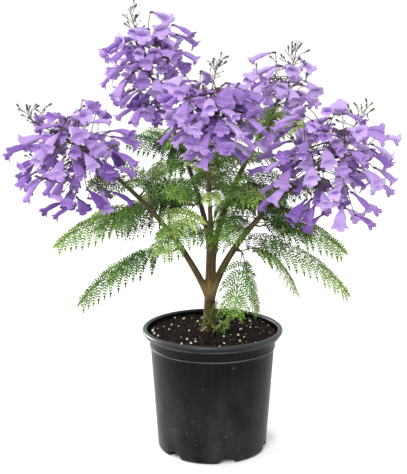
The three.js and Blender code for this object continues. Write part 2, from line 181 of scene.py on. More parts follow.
def new_tree(name, **inputs):
    """A Geometry Nodes tree with geometry sockets and named inputs, each a socket kind and a value."""
    tree = bpy.data.node_groups.new(name, "GeometryNodeTree")
    tree.interface.new_socket("Geometry", in_out="INPUT", socket_type="NodeSocketGeometry")
    tree.interface.new_socket("Geometry", in_out="OUTPUT", socket_type="NodeSocketGeometry")
    for key, (kind, value) in inputs.items():
        socket = tree.interface.new_socket(key.replace("_", " "), in_out="INPUT", socket_type=kind)
        if value is not None:
            socket.default_value = value
    return tree, tree.nodes.new("NodeGroupInput").outputs


def end_tree(tree, geometry):
    tree.links.new(geometry, tree.nodes.new("NodeGroupOutput").inputs["Geometry"])
    return tree


def attribute(tree, name, kind="FLOAT"):
    return add(tree, "GeometryNodeInputNamedAttribute", {"data_type": kind}, Name=name).outputs["Attribute"]


def is_equal(tree, number, value):
    settings = {"data_type": "INT", "operation": "EQUAL"}
    return add(tree, "FunctionNodeCompare", settings, n2=number, n3=value).outputs["Result"]


def calculate(tree, operation, first, second, clamp=False):
    """One step of arithmetic on two numbers, each a socket or a plain number."""
    settings = {"operation": operation, "use_clamp": clamp}
    return add(tree, "ShaderNodeMath", settings, n0=first, n1=second).outputs[0]


def shapes_of(tree, forms):
    """The shapes of a collection, as separate instances."""
    sockets = dict(Collection=forms, Separate_Children=True, Reset_Children=True)
    return add(tree, "GeometryNodeCollectionInfo", **sockets).outputs["Instances"]


def paint(tree, geometry, material, selection=True):
    node = add(tree, "GeometryNodeSetMaterial", Geometry=geometry, Material=material, Selection=selection)
    return node.outputs["Geometry"]


def make_plain(piece, tree, **values):
    """Runs a Geometry Nodes tree on an object and keeps the result as the object's own plain mesh."""
    modifier = piece.modifiers.new(tree.name, "NODES")
    modifier.node_group = tree
    for socket in tree.interface.items_tree:
        key = socket.name.replace(" ", "_")
        if socket.in_out == "INPUT" and key in values:
            modifier[socket.identifier] = values[key]
    return settle(piece)


def settle(piece):
    """Applies an object's modifiers, and shades the result smooth."""
    depsgraph = bpy.context.evaluated_depsgraph_get()
    plain = bpy.data.meshes.new_from_object(
        piece.evaluated_get(depsgraph), preserve_all_data_layers=True, depsgraph=depsgraph
    )
    piece.modifiers.clear()
    old = piece.data
    piece.data = plain
    bpy.data.meshes.remove(old)
    plain.name = piece.name
    plain.shade_smooth()
    return piece


print("helpers ready")

# %% [markdown]
# Most meshes start as plain lists of points, edges and faces. Attributes ride on the points, such as how
# thick a twig is there or which way a flower looks, and the node trees read them by name.

# %% Mesh helpers
NEARLY_UPRIGHT = 0.98
ATTRIBUTE_KINDS = {"f": "FLOAT", "i": "INT"}
ATTRIBUTE_FIELDS = {"FLOAT": "value", "INT": "value", "FLOAT_VECTOR": "vector"}


def new_object(name, points, edges=(), faces=(), **attributes):
    mesh = bpy.data.meshes.new(name)
    mesh.from_pydata(np.asarray(points).tolist(), list(edges), list(faces))
    for key, values in attributes.items():
        values = np.asarray(values)
        kind = "FLOAT_VECTOR" if values.ndim == 2 else ATTRIBUTE_KINDS[values.dtype.kind]
        layer = mesh.attributes.new(key, kind, "POINT")
        layer.data.foreach_set(ATTRIBUTE_FIELDS[kind], values.ravel())
    mesh.update()
    piece = bpy.data.objects.new(name, mesh)
    bpy.context.scene.collection.objects.link(piece)
    return piece


def grid_faces(rows, columns, first=0, closed=True):
    """Quads between rows of points that run round a shape, each row one after another."""
    faces = []
    for row in range(rows - 1):
        for column in range(columns if closed else columns - 1):
            a = first + row * columns + column
            b = first + row * columns + (column + 1) % columns
            faces.append((a, b, b + columns, a + columns))
    return faces


def frame_round(direction):
    """Two directions square to a direction and to each other."""
    other = UP if abs(direction[2]) < NEARLY_UPRIGHT else np.array((1.0, 0.0, 0.0))
    across = unit(np.cross(other, direction))
    return across, np.cross(direction, across)


def frames_along(path, shares):
    """Two directions square to a path at each share, carried along it so that they never jump."""
    across, _ = frame_round(path.along(0))
    for share in shares:
        forward = path.along(share)
        across = unit(across - forward * across.dot(forward))
        yield share, across, np.cross(forward, across)


def tube(path, radius_at, sides, rings):
    """Points and faces of a closed tube along a path."""
    points = []
    angles = np.linspace(0, 2 * math.pi, sides, endpoint=False)
    for share, across, other in frames_along(path, np.linspace(0, 1, rings)):
        ring = np.outer(np.cos(angles), across) + np.outer(np.sin(angles), other)
        points.extend(path.at(share) + ring * radius_at(share))
    faces = grid_faces(rings, sides)
    faces.append(tuple(range(sides))[::-1])
    faces.append(tuple(range((rings - 1) * sides, rings * sides)))
    return points, faces


print("mesh helpers ready")

# %% [markdown]
# The trunk leans a little and flares at its foot. Two boughs leave it at one height, and three higher up.
# They climb steeply and then lean out. These are the same curves that the solid model is built on, so
# everything that grows later meets them.

# %% Limbs
MM = 0.001


def mm(*values):
    """The plan gives lengths in millimetres: here they become metres."""
    return np.array(values) * MM


class Limb:
    """A path with a radius at each share of its length."""

    def __init__(self, path, radius_at):
        self.path = path
        self.radius_at = radius_at


TRUNK_FOOT = mm(-5, 0, 188.3)
TRUNK_HEAD = mm(-2, 0, 329)
TRUNK_HEIGHT = TRUNK_HEAD[2] - TRUNK_FOOT[2]
TRUNK_FOOT_RADIUS = 9.2 * MM
TRUNK_HEAD_RADIUS = 7.6 * MM
ROOT_FLARE = 3.6 * MM
ROOT_FLARE_LENGTH = 14 * MM
BOUGH_BEND = 0.36
# For each bough: the height where it leaves the trunk, its rise there and at its tip, its tip, and two radii
BOUGHS = dict(
    left=(240, 66, 42, (-151, -30, 442), 5.4, 2.9),
    right=(240, 72, 42, (119, -45, 425), 6.2, 3.0),
    back_right=(286, 80, 48, (97, 120, 520), 5.6, 2.7),
    back_left=(302, 80, 50, (-75, 100, 521), 4.6, 2.6),
    centre=(312, 82, 62, (-9, -70, 482), 4.2, 2.5),
)


def trunk_radius(share):
    flare = ROOT_FLARE * np.exp(-share * TRUNK_HEIGHT / ROOT_FLARE_LENGTH)
    return lerp(TRUNK_FOOT_RADIUS, TRUNK_HEAD_RADIUS, share) + flare


def bough_limb(leaves, rise, arrive, tip, root_radius, tip_radius):
    root = limbs["trunk"].path.at((leaves - TRUNK_FOOT[2]) / TRUNK_HEIGHT)
    span = np.linalg.norm(tip - root) * BOUGH_BEND
    heading = math.atan2(tip[1] - root[1], tip[0] - root[0])
    first = root + aim(heading, math.radians(rise)) * span
    second = tip - aim(heading, math.radians(arrive)) * span
    return Limb(Path(root, first, second, tip), lambda share: lerp(root_radius, tip_radius, share))


third = UP * TRUNK_HEIGHT / 3
limbs = {"trunk": Limb(Path(TRUNK_FOOT, TRUNK_FOOT + third, TRUNK_HEAD - third, TRUNK_HEAD), trunk_radius)}
for name, (leaves, rise, arrive, tip, root_radius, tip_radius) in BOUGHS.items():
    limbs[name] = bough_limb(leaves * MM, rise, arrive, mm(*tip), root_radius * MM, tip_radius * MM)
for name, limb in limbs.items():
    print(name, "is", round(limb.path.length / MM), "mm long")

# %% [markdown]
# A finish is a Principled shader with a few texture nodes in front of it. Colours are written as they look,
# in the usual 0 to 255 numbers, and turned into the linear numbers that a renderer works with.

# %% Finish helpers
def colour(red, green, blue):
    """The linear colour for the usual display numbers."""
    shares = np.array((red, green, blue)) / 255
    linear = np.where(shares <= 0.04045, shares / 12.92, ((shares + 0.055) / 1.055) ** 2.4)
    return (*linear.tolist(), 1.0)


def new_finish(name, **sockets):
    """A material, its node tree and its Principled shader, which takes the steady values itself."""
    material = bpy.data.materials.new(name)
    material.use_nodes = True
    shader = material.node_tree.nodes["Principled BSDF"]
    for key, value in sockets.items():
        shader.inputs[key.replace("_", " ")].default_value = value
    return material, material.node_tree, shader


def place_of(tree, stretch=(1, 1, 1), attribute_name=None):
    """Object coordinates, or a vector that the mesh carries, stretched along its axes."""
    if attribute_name:
        source = add(tree, "ShaderNodeAttribute", {"attribute_name": attribute_name}).outputs["Vector"]
    else:
        source = add(tree, "ShaderNodeTexCoord").outputs["Object"]
    return add(tree, "ShaderNodeMapping", Vector=source, Scale=stretch).outputs["Vector"]


def cloud(tree, place, grain, detail=4.0, roughness=0.6):
    """Soft noise with grains of a given size."""
    node = add(tree, "ShaderNodeTexNoise", Vector=place, Scale=1 / grain, Detail=detail, Roughness=roughness)
    return node.outputs["Fac"]


def ramp(tree, factor, *stops):
    """A colour ramp through stops of position and colour."""
    node = add(tree, "ShaderNodeValToRGB", Fac=factor)
    elements = node.color_ramp.elements
    while len(elements) < len(stops):
        elements.new(0.5)
    for element, (position, tone) in zip(elements, stops):
        element.position = position
        element.color = tone
    return node.outputs["Color"]


def grey(value):
    return (value, value, value, 1.0)


def blend_colours(tree, factor, first, second, mode="MIX"):
    """Mixes two colours, each a socket or a plain colour."""
    settings = {"data_type": "RGBA", "blend_type": mode}
    return add(tree, "ShaderNodeMix", settings, n0=factor, n6=first, n7=second).outputs[2]


def darkened(tone, share):
    return (*(channel * share for channel in tone[:3]), 1.0)


def rescale(tree, value, top, first, last):
    """Carries a value from 0 to a top over to a first and a last number."""
    return add(tree, "ShaderNodeMapRange", Value=value, n1=0.0, n2=top, n3=first, n4=last).outputs["Result"]


def connect(tree, shader, **sockets):
    for key, output in sockets.items():
        tree.links.new(output, shader.inputs[key.replace("_", " ")])


def bump(tree, shader, height, depth, strength=1.0):
    node = add(tree, "ShaderNodeBump", Height=height, Distance=depth, Strength=strength)
    tree.links.new(node.outputs["Normal"], shader.inputs["Normal"])


def keep(piece, slot, *nodes):
    """Attaches a finished piece to its body and hides the solids that it stands for. Its slot is not used."""
    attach(piece, BODY)
    if nodes:
        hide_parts(*nodes)
    piece.data.calc_loop_triangles()
    print(piece.name, len(piece.data.loop_triangles), "triangles")


print("finish helpers ready")

# %% [markdown]
# Young jacaranda bark is thin and streaked along the limb, with pale breathing pores. Forks are swollen,
# the roots show as low ridges, and each leafy shoot starts on a short stem that widens at its foot. Tubes
# along the limbs are joined into one skin by a voxel remesh, which melts the forks together. A grain
# attribute then says where each point lies round and along its own limb, so that ridges and streaks can
# follow the wood.

# %% Bark: tubes along the limbs
VOXEL = 0.85 * MM
FORK_SWELLING = 0.38
FORK_LENGTH = 16 * MM
ROOTS = ((200, 19), (262, 16), (318, 17), (40, 17), (122, 18))
ROOT_START = (15, 3)
ROOT_BEND = (3, 10)
ROOT_SINK = 3
ROOT_RADII = (5.2 * MM, 1.8 * MM)
CROWN_SINK = 6
CROWN_RISE = 2
CROWN_RADIUS = 12.6 * MM
TRUNK_GRID = (40, 60)
CROWN_GRID = (32, 4)
BOUGH_GRID = (20, 60)
ROOT_GRID = (12, 12)
SHOOT_GRID = (10, 8)
SHOOT_LENGTH = 13 * MM
SHOOT_RADII = (2.8 * MM, 1.3 * MM)
FOOT_SHOOT_SIZE = 0.6
SHOOTS = dict(
    left_low=dict(at=0.38, faces=172, fan=44, fronds=2, rise=2, reach=156, droop=0.53),
    left_mid=dict(at=0.64, faces=167, fan=58, fronds=2, rise=14, reach=164, droop=0.4),
    left_high=dict(at=0.78, faces=62, fan=66, fronds=3, rise=44, reach=88, droop=0.1),
    right_low=dict(at=0.39, faces=30, fan=48, fronds=2, rise=8, reach=210, droop=0.65),
    right_front=dict(at=0.42, faces=300, fan=100, fronds=2, rise=-70, reach=104, droop=0.04),
    right_mid=dict(at=0.62, faces=20, fan=56, fronds=2, rise=12, reach=166, droop=0.46),
    right_high=dict(at=0.7, faces=110, fan=70, fronds=3, rise=40, reach=90, droop=0.1),
    centre_low=dict(at=0.3, faces=226, fan=96, fronds=1, rise=18, reach=112, droop=0.5),
    centre_high=dict(at=0.6, faces=30, fan=120, fronds=2, rise=14, reach=84, droop=0.28),
    back_left_low=dict(at=0.36, faces=142, fan=38, fronds=3, rise=8, reach=176, droop=0.36),
    back_left_high=dict(at=0.72, faces=190, fan=84, fronds=3, rise=26, reach=98, droop=0.2),
    back_right_low=dict(at=0.4, faces=56, fan=42, fronds=3, rise=8, reach=172, droop=0.36),
    back_right_high=dict(at=0.82, faces=340, fan=90, fronds=3, rise=40, reach=92, droop=0.16),
    trunk_foot=dict(at=0.05, faces=300, fan=60, fronds=3, rise=48, reach=38, droop=0.4),
)


def limb_of(shoot):
    return limbs[shoot.rsplit("_", 1)[0]]


def stem_of(shoot):
    """A shoot's short stem stands square to its limb, on the side that its fronds head for."""
    plan = SHOOTS[shoot]
    limb = limb_of(shoot)
    along = limb.path.along(plan["at"])
    out = aim(math.radians(plan["faces"]), math.radians(plan["rise"]))
    out = unit(out - along * out.dot(along))
    start = limb.path.at(plan["at"])
    return Path(start, start + out * (limb.radius_at(plan["at"]) + SHOOT_LENGTH))


def bark_tubes():
    """Every limb, the root crown, the roots and the shoot stems: each a path, a radius, sides and rings."""
    yield limbs["trunk"].path, limbs["trunk"].radius_at, *TRUNK_GRID
    crown = Path(TRUNK_FOOT - UP * CROWN_SINK * MM, TRUNK_FOOT + UP * CROWN_RISE * MM)
    yield crown, lambda share: CROWN_RADIUS, *CROWN_GRID
    for name, limb in limbs.items():
        if name == "trunk":
            continue
        length = limb.path.length

        def swollen(share, limb=limb, length=length):
            return limb.radius_at(share) * (1 + FORK_SWELLING * math.exp(-share * length / FORK_LENGTH))

        yield limb.path, swollen, *BOUGH_GRID
    for heading, reach in ROOTS:
        out = aim(math.radians(heading), 0)
        start = TRUNK_FOOT + UP * ROOT_START[0] * MM + out * ROOT_START[1] * MM
        bend = TRUNK_FOOT + UP * ROOT_BEND[0] * MM + out * ROOT_BEND[1] * MM
        path = Path(start, bend, TRUNK_FOOT - UP * ROOT_SINK * MM + out * reach * MM)
        yield path, lambda share: lerp(*ROOT_RADII, share), *ROOT_GRID
    for shoot in SHOOTS:
        size = FOOT_SHOOT_SIZE if shoot == "trunk_foot" else 1
        yield stem_of(shoot), lambda share, size=size: size * lerp(*SHOOT_RADII, share**0.5), *SHOOT_GRID


bark_points = []
bark_faces = []
for path, radius_at, sides, rings in bark_tubes():
    points, faces = tube(path, radius_at, sides, rings)
    bark_faces.extend(tuple(corner + len(bark_points) for corner in face) for face in faces)
    bark_points.extend(points)
bark = new_object("bark", bark_points, faces=bark_faces)
melt = bark.modifiers.new("melt", "REMESH")
melt.mode = "VOXEL"
melt.voxel_size = VOXEL
ease = bark.modifiers.new("ease", "SMOOTH")
ease.factor = 0.5
ease.iterations = 4
settle(bark)
print("bark skin has", len(bark.data.vertices), "points")

# %% [markdown]
# Each point of the skin looks up the nearest place on a limb's axis. Its grain is the offset from that axis
# and the length along it. Its age runs from olive twig to brown wood with the limb's thickness, and its
# stain marks the dark band under the fork, the pale fork itself and the cut top of the trunk.

# %% Bark: grain, age and stain
AXIS_STEP = 1 * MM
BAND_HEIGHT = 240 * MM
FORK_HEIGHT = 256 * MM
BAND_WIDTH = 4 * MM
FORK_WIDTH = 11 * MM
FORK_PALENESS = 0.8
CUT_DEPTH = 2 * MM
GRAIN_OFFSET = 0.41
YOUNGEST_RADIUS = 2.8
AGE_RADIUS = 4.2
FORKED_LIMBS = 3
axis_points = []
axis_rows = []
for number, limb in enumerate(limbs.values()):
    for share, across, other in frames_along(limb.path, np.linspace(0, 1, int(limb.path.length / AXIS_STEP))):
        axis_points.append(limb.path.at(share))
        length = number * GRAIN_OFFSET + share * limb.path.length
        axis_rows.append((across, other, length, limb.radius_at(share), number))
axis_tree = KDTree(len(axis_points))
for number, point in enumerate(axis_points):
    axis_tree.insert(point, number)
axis_tree.balance()


def hump(value, middle, width):
    return math.exp(-(((value - middle) / width) ** 2))


grain = []
age = []
stain = []
for vertex in bark.data.vertices:
    place, number, _ = axis_tree.find(vertex.co)
    across, other, length, radius, home = axis_rows[number]
    offset = np.array(vertex.co - place)
    grain.append((offset.dot(across), offset.dot(other), length))
    age.append(min(max((radius / MM - YOUNGEST_RADIUS) / AGE_RADIUS, 0), 1))
    height = vertex.co.z
    on_trunk = 1.0 if home == 0 else 0.0
    cut_top = on_trunk * (height > TRUNK_HEAD[2] - CUT_DEPTH)
    band = on_trunk * hump(height, BAND_HEIGHT, BAND_WIDTH)
    pale_fork = hump(height, FORK_HEIGHT, FORK_WIDTH) * (1.0 if home < FORKED_LIMBS else 0.0)
    stain.append(max(cut_top, band) - FORK_PALENESS * pale_fork)
for key, kind, values in (("grain", "FLOAT_VECTOR", grain), ("age", "FLOAT", age), ("stain", "FLOAT", stain)):
    layer = bark.data.attributes.new(key, kind, "POINT")
    layer.data.foreach_set(ATTRIBUTE_FIELDS[kind], np.array(values, np.float32).ravel())
print("ages run from", round(min(age), 2), "to", round(max(age), 2))

# %% Bark: relief and finish
def bark_finish():
    material, tree, shader = new_finish("bark", Roughness=0.78, Specular_IOR_Level=0.3)
    along = place_of(tree, (1, 1, 0.1), "grain")
    streaks = cloud(tree, along, 2.2 * MM, detail=6)
    blotches = cloud(tree, place_of(tree, (1, 1, 0.5), "grain"), 14 * MM)
    wood_stops = ((0.32, colour(24, 13, 5)), (0.48, colour(58, 39, 16)), (0.7, colour(99, 75, 34)))
    twig_stops = ((0.3, colour(40, 37, 20)), (0.55, colour(72, 66, 38)), (0.75, colour(100, 90, 56)))
    twig = ramp(tree, streaks, *twig_stops)
    moss = ramp(tree, blotches, (0.45, grey(0)), (0.7, grey(0.6)))
    mossy = blend_colours(tree, moss, ramp(tree, streaks, *wood_stops), colour(80, 78, 38))
    years = add(tree, "ShaderNodeAttribute", {"attribute_name": "age"}).outputs["Fac"]
    base = blend_colours(tree, years, twig, mossy)
    marks = add(tree, "ShaderNodeAttribute", {"attribute_name": "stain"}).outputs["Fac"]
    dark = calculate(tree, "MULTIPLY", marks, 0.8, clamp=True)
    base = blend_colours(tree, dark, base, colour(30, 17, 9))
    pale = calculate(tree, "MULTIPLY", marks, -0.5, clamp=True)
    base = blend_colours(tree, pale, base, colour(146, 120, 76))
    pore_place = place_of(tree, (1, 1, 0.6), "grain")
    pores = add(tree, "ShaderNodeTexVoronoi", Vector=pore_place, Scale=1 / (4 * MM))
    spots = ramp(tree, pores.outputs["Distance"], (0.08, grey(0.5)), (0.16, grey(0)))
    base = blend_colours(tree, spots, base, colour(140, 122, 90))
    connect(tree, shader, Base_Color=base)
    bump(tree, shader, streaks, 0.5 * MM, 0.7)
    return material


def relief_tree():
    """Ridges and furrows along the grain, pushed out of the skin and into it along its normals."""
    tree, inputs = new_tree(
        "bark_relief",
        Depth=("NodeSocketFloat", 0.9 * MM),
        Ridge=("NodeSocketFloat", 3.2 * MM),
        Finish=("NodeSocketMaterial", None),
    )
    place = attribute(tree, "grain", "FLOAT_VECTOR")
    stretched = add(tree, "ShaderNodeVectorMath", {"operation": "MULTIPLY"}, n0=place, n1=(1, 1, 0.13))
    scale = calculate(tree, "DIVIDE", 1.0, inputs["Ridge"])
    ridges = add(tree, "ShaderNodeTexNoise", Vector=stretched.outputs[0], Scale=scale, Detail=3.0)
    height = calculate(tree, "SUBTRACT", ridges.outputs["Fac"], 0.5)
    push = calculate(tree, "MULTIPLY", height, inputs["Depth"])
    normal = add(tree, "GeometryNodeInputNormal").outputs["Normal"]
    offset = add(tree, "ShaderNodeVectorMath", {"operation": "SCALE"}, n0=normal, Scale=push).outputs[0]
    moved = add(tree, "GeometryNodeSetPosition", Geometry=inputs["Geometry"], Offset=offset)
    return end_tree(tree, paint(tree, moved.outputs["Geometry"], inputs["Finish"]))


bark_material = bark_finish()
make_plain(bark, relief_tree(), Finish=bark_material)
keep(bark, "bark", "trunk", *(f"bough_{name}" for name in limbs if name != "trunk"))

# %% [markdown]
# The nursery pot is black plastic: a tapering wall with a small step, a neck, a thin collar and a rolled
# lip. Spinning one outline, which runs out from the axis and back to it, gives outside and inside together.
# Its underside is pushed up at six places on the way, which leaves drain notches between low feet.

# %% Pot: outline
POT_COLUMNS = 240
FOOT_RADIUS = 86
CORNER = 6
LEDGE_HEIGHT = 166
LEDGE_RADIUS = 97
WALL = 2.4
WALL_HEIGHTS = (9, 12, 15, 18, 21, 45, 70, 95, 120, 145, 160, 165)
LIP_RADIUS = 4
LIP_MIDDLE = (106, 191)


def wall_radius(height):
    """The wall's outside radius, in millimetres as its height is."""
    return lerp(FOOT_RADIUS, LEDGE_RADIUS, (height - CORNER) / (LEDGE_HEIGHT - CORNER))


def arc(middle, radius, first, last, steps):
    """Points round part of a circle, from a first to a last angle in degrees."""
    angles = np.radians(np.linspace(first, last, steps))
    return [(middle[0] + radius * math.cos(a), middle[1] + radius * math.sin(a)) for a in angles]


pot_outline = [(radius, 0) for radius in (0, 40, 56, 58, 60, 66, 74)]
pot_outline += arc((FOOT_RADIUS - CORNER, CORNER), CORNER, -90, 0, 6)
pot_outline += [(wall_radius(height), height) for height in WALL_HEIGHTS]
pot_outline += [(97.6, 165.9), (98.4, 166.3), (98.7, 167.1), (98.5, 167.9), (97.9, 168.5), (98.1, 170.0)]
pot_outline += [(99.9, 180.6), (100.3, 181.9), (101.4, 182.6), (104.2, 182.7), (105.5, 183.3)]
pot_outline += [(105.9, 184.6), (105.6, 186.0), (105.2, 186.7)]
pot_outline += arc(LIP_MIDDLE, LIP_RADIUS, -80, 180, 14)
OUTSIDE_POINTS = len(pot_outline)
pot_outline += [(101.4, 189.4), (99.0, 186.6), (97.9, 184.5), (97.4, 177.0), (95.6, 167.6)]
pot_outline += [(wall_radius(height) - WALL, height) for height in (160, 120, 80, 40, 21, 15, 9, 5)]
pot_outline += [(80.0, 3.2), (74, 3), (66, 3), (60, 3), (58, 3), (56, 3), (40, 3), (0, 3)]
print("the pot's outline has", len(pot_outline), "points")

# %% Pot: turning and drain notches
NOTCHES = 6
FIRST_NOTCH = math.radians(-74.5)
NOTCH_HEIGHT = 10
NOTCH_FOOT = 15
NOTCH_HEAD = 7
NOTCH_FADE = 24
NOTCH_INNER = 56
NOTCH_EASE = 4


def turned(name, outline, columns, bend=None):
    """Spins an outline in millimetres round the upright axis, on which its ends lie."""
    headings = np.linspace(0, 2 * math.pi, columns, endpoint=False)
    points = []
    for radius, height in outline[1:-1]:
        for heading in headings:
            lift = bend(radius, height, heading) if bend else height
            points.append(mm(radius * math.cos(heading), radius * math.sin(heading), lift))
    faces = grid_faces(len(outline) - 2, columns)
    bottom = len(points)
    points.append(mm(0, 0, outline[0][1]))
    points.append(mm(0, 0, outline[-1][1]))
    last = bottom - columns
    for column in range(columns):
        after = (column + 1) % columns
        faces.append((bottom, after, column))
        faces.append((bottom + 1, last + column, last + after))
    return new_object(name, points, faces=faces)


def notch_lift(radius, heading):
    """How far a drain notch raises the underside here, in millimetres."""
    turn = (heading - FIRST_NOTCH) % (2 * math.pi / NOTCHES)
    turn = min(turn, 2 * math.pi / NOTCHES - turn)
    across = radius * math.sin(turn)
    share = min(max((NOTCH_FOOT - across) / (NOTCH_FOOT - NOTCH_HEAD), 0), 1)
    inward = min(max((radius - NOTCH_INNER) / NOTCH_EASE, 0), 1)
    return NOTCH_HEIGHT * share * share * (3 - 2 * share) * inward


is_inside = {outline_point: number >= OUTSIDE_POINTS for number, outline_point in enumerate(pot_outline)}


def notched(radius, height, heading):
    lift = notch_lift(radius, heading)
    if is_inside[(radius, height)]:
        return max(height, lift + WALL) if radius < FOOT_RADIUS else height
    return height + lift * max(1 - height / NOTCH_FADE, 0)


pot = turned("pot_shell", pot_outline, POT_COLUMNS, notched)
pot.data.shade_smooth()
print("the pot is", round(pot.dimensions.x / MM), "mm wide and", round(pot.dimensions.z / MM), "mm high")

# %% [markdown]
# The plastic is nearly black, with a glossier lip. Water and handling leave soft streaks down the wall,
# grey dust that gathers low, fine scuffs and a few pale specks. Pale lines on the step and the collar are
# partly wear and partly painted highlight, and the lip's top is painted a lighter grey as a highlight.

# %% Pot: finish
def plastic_finish():
    material, tree, shader = new_finish("black_plastic")
    streaks = cloud(tree, place_of(tree, (1, 1, 0.08)), 13 * MM, detail=5)
    clouds = cloud(tree, place_of(tree, (1, 1, 0.6)), 38 * MM)
    scuffs = cloud(tree, place_of(tree, (1, 1, 0.35)), 3 * MM, detail=8, roughness=0.75)
    base = ramp(tree, streaks, (0.35, colour(4, 4, 5)), (0.7, colour(14, 15, 18)))
    height = add(tree, "ShaderNodeSeparateXYZ", Vector=place_of(tree)).outputs["Z"]
    low = rescale(tree, height, 150 * MM, 0.5, 0.02)
    dusty = ramp(tree, scuffs, (0.3, grey(0.25)), (0.75, grey(0.8)))
    patches = ramp(tree, clouds, (0.35, grey(0.1)), (0.65, grey(1)))
    patchy = blend_colours(tree, 1.0, dusty, patches, "MULTIPLY")
    dust = calculate(tree, "MULTIPLY", patchy, low)
    base = blend_colours(tree, dust, base, colour(92, 93, 97))
    level = rescale(tree, height, 200 * MM, 0.0, 1.0)
    # Pale lines on the step and the collar, on outward faces and broken by noise: partly wear, partly painted
    # highlight.
    step = ((0.829, grey(0)), (0.834, grey(0.5)), (0.84, grey(0)))
    collar = ((0.916, grey(0)), (0.924, grey(0.32)), (0.932, grey(0)))
    edges = ramp(tree, level, *step, *collar)
    surface = add(tree, "ShaderNodeNewGeometry").outputs
    flat = add(tree, "ShaderNodeVectorMath", {"operation": "MULTIPLY"}, n0=surface["Position"], n1=(1, 1, 0))
    dot = {"operation": "DOT_PRODUCT"}
    facing = add(tree, "ShaderNodeVectorMath", dot, n0=flat.outputs[0], n1=surface["Normal"])
    outside = ramp(tree, facing.outputs["Value"], (0.0, grey(0)), (0.03, grey(1)))
    edges = blend_colours(tree, 1.0, edges, outside, "MULTIPLY")
    shine = ramp(tree, level, (0.93, grey(0.085)), (0.97, grey(0.45)))
    lip = ramp(tree, level, (0.957, grey(0)), (0.969, grey(1)))
    shown = blend_colours(tree, 1.0, outside, lip, "LIGHTEN")
    gloss = blend_colours(tree, 1.0, shine, shown, "MULTIPLY")
    # The top of the lip is painted a lighter grey: a painted highlight.
    base = blend_colours(tree, lip, base, colour(46, 47, 50))
    edge_wear_and_highlight = ramp(tree, clouds, (0.3, grey(0.35)), (0.6, grey(1)))
    base = blend_colours(tree, calculate(tree, "MULTIPLY", edges, edge_wear_and_highlight), base, colour(150, 152, 156))
    specks = add(tree, "ShaderNodeTexVoronoi", Vector=place_of(tree), Scale=1 / (15 * MM)).outputs["Distance"]
    dots = ramp(tree, specks, (0.035, grey(0.8)), (0.06, grey(0)))
    base = blend_colours(tree, dots, base, colour(140, 137, 130))
    rough = ramp(tree, scuffs, (0.3, grey(0.28)), (0.7, grey(0.46)))
    connect(tree, shader, Base_Color=base, Roughness=rough, Specular_IOR_Level=gloss)
    bump(tree, shader, scuffs, 0.12 * MM, 0.5)
    return material


pot.data.materials.append(plastic_finish())
keep(pot, "pot", "pot")

# %% [markdown]
# The mix in the pot is dark, with bark chips and white perlite. A lumpy lid gives its surface, and Geometry
# Nodes scatter crumbs over it. Chips and perlite are separate pieces because each has a finish of its own.

# %% Soil: lid
SOIL_EDGE = 187
SOIL_CROWN = 190
SOIL_RADIUS = 97.4
LID_DEPTH = 12
LID_TAPER = 2.4
LID_SLACK = 2
LID_RINGS = 60
LID_INNERMOST = 2
MOUND_RADIUS = 20
MOUND_FALL = 0.8
LUMPS = ((14, 1.8), (5, 1.4))
EDGE_ROOM = 4
EDGE_EASE = 12
LID_COLUMNS = 160


def mound(radius):
    """The height of the mix at a distance from the middle, in millimetres."""
    share = min(max((radius - MOUND_RADIUS) / (SOIL_RADIUS - MOUND_RADIUS), 0), 1)
    return lerp(SOIL_CROWN, SOIL_EDGE, share**MOUND_FALL)


def lumpy(radius, height, heading):
    if height < SOIL_EDGE - LID_SLACK:
        return height
    place = Vector((radius * math.cos(heading), radius * math.sin(heading), 0))
    lumps = sum(noise.noise(place / width) * rise for width, rise in LUMPS)
    return height + lumps * min((SOIL_RADIUS + EDGE_ROOM - radius) / EDGE_EASE, 1)


lid_outline = [(0, SOIL_EDGE - LID_DEPTH), (SOIL_RADIUS - LID_TAPER, SOIL_EDGE - LID_DEPTH)]
lid_radii = np.linspace(SOIL_RADIUS, LID_INNERMOST, LID_RINGS)
lid_outline += [(radius, mound(radius)) for radius in lid_radii]
lid_outline += [(0, SOIL_CROWN)]
soil = turned("soil_bed", lid_outline, LID_COLUMNS, lumpy)
soil.data.shade_smooth()


def soil_finish():
    material, tree, shader = new_finish("potting_mix", Roughness=0.92, Specular_IOR_Level=0.15)
    fine = cloud(tree, place_of(tree), 2.5 * MM, detail=8, roughness=0.75)
    broad = cloud(tree, place_of(tree), 20 * MM)
    base = ramp(tree, fine, (0.38, colour(7, 5, 4)), (0.56, colour(21, 14, 10)), (0.75, colour(52, 37, 28)))
    base = blend_colours(tree, ramp(tree, broad, (0.4, grey(0.6)), (0.65, grey(0))), base, colour(11, 8, 7))
    connect(tree, shader, Base_Color=base)
    bump(tree, shader, fine, 1.2 * MM, 0.9)
    return material


soil.data.materials.append(soil_finish())
keep(soil, "soil", "soil")

# %% Soil: crumbs
LEAST_RISE = 0.3
FULL_TURN = (6.28, 6.28, 6.28)
NOISE_ROOM = 50
NOISE_GRAIN = 1.3


def crumb(name, seed, stretch, roughness, level):
    """A broken lump: a subdivided ball pushed in and out by noise and stretched."""
    draw = seeded(seed)
    bpy.ops.mesh.primitive_ico_sphere_add(subdivisions=level, radius=1)
    piece = bpy.context.object
    piece.name = name
    start = Vector((draw(), draw(), draw())) * NOISE_ROOM
    for vertex in piece.data.vertices:
        push = 1 + roughness * noise.noise(vertex.co * NOISE_GRAIN + start)
        vertex.co = Vector(vertex.co[k] * stretch[k] * push for k in range(3))
    return piece


def forms_of(name, *pieces):
    """Puts prototype shapes into a collection that node trees pick from in the order of their names."""
    forms = bpy.data.collections.new(name)
    bpy.context.scene.collection.children.link(forms)
    for piece in pieces:
        for home in list(piece.users_collection):
            home.objects.unlink(piece)
        forms.objects.link(piece)
    return forms


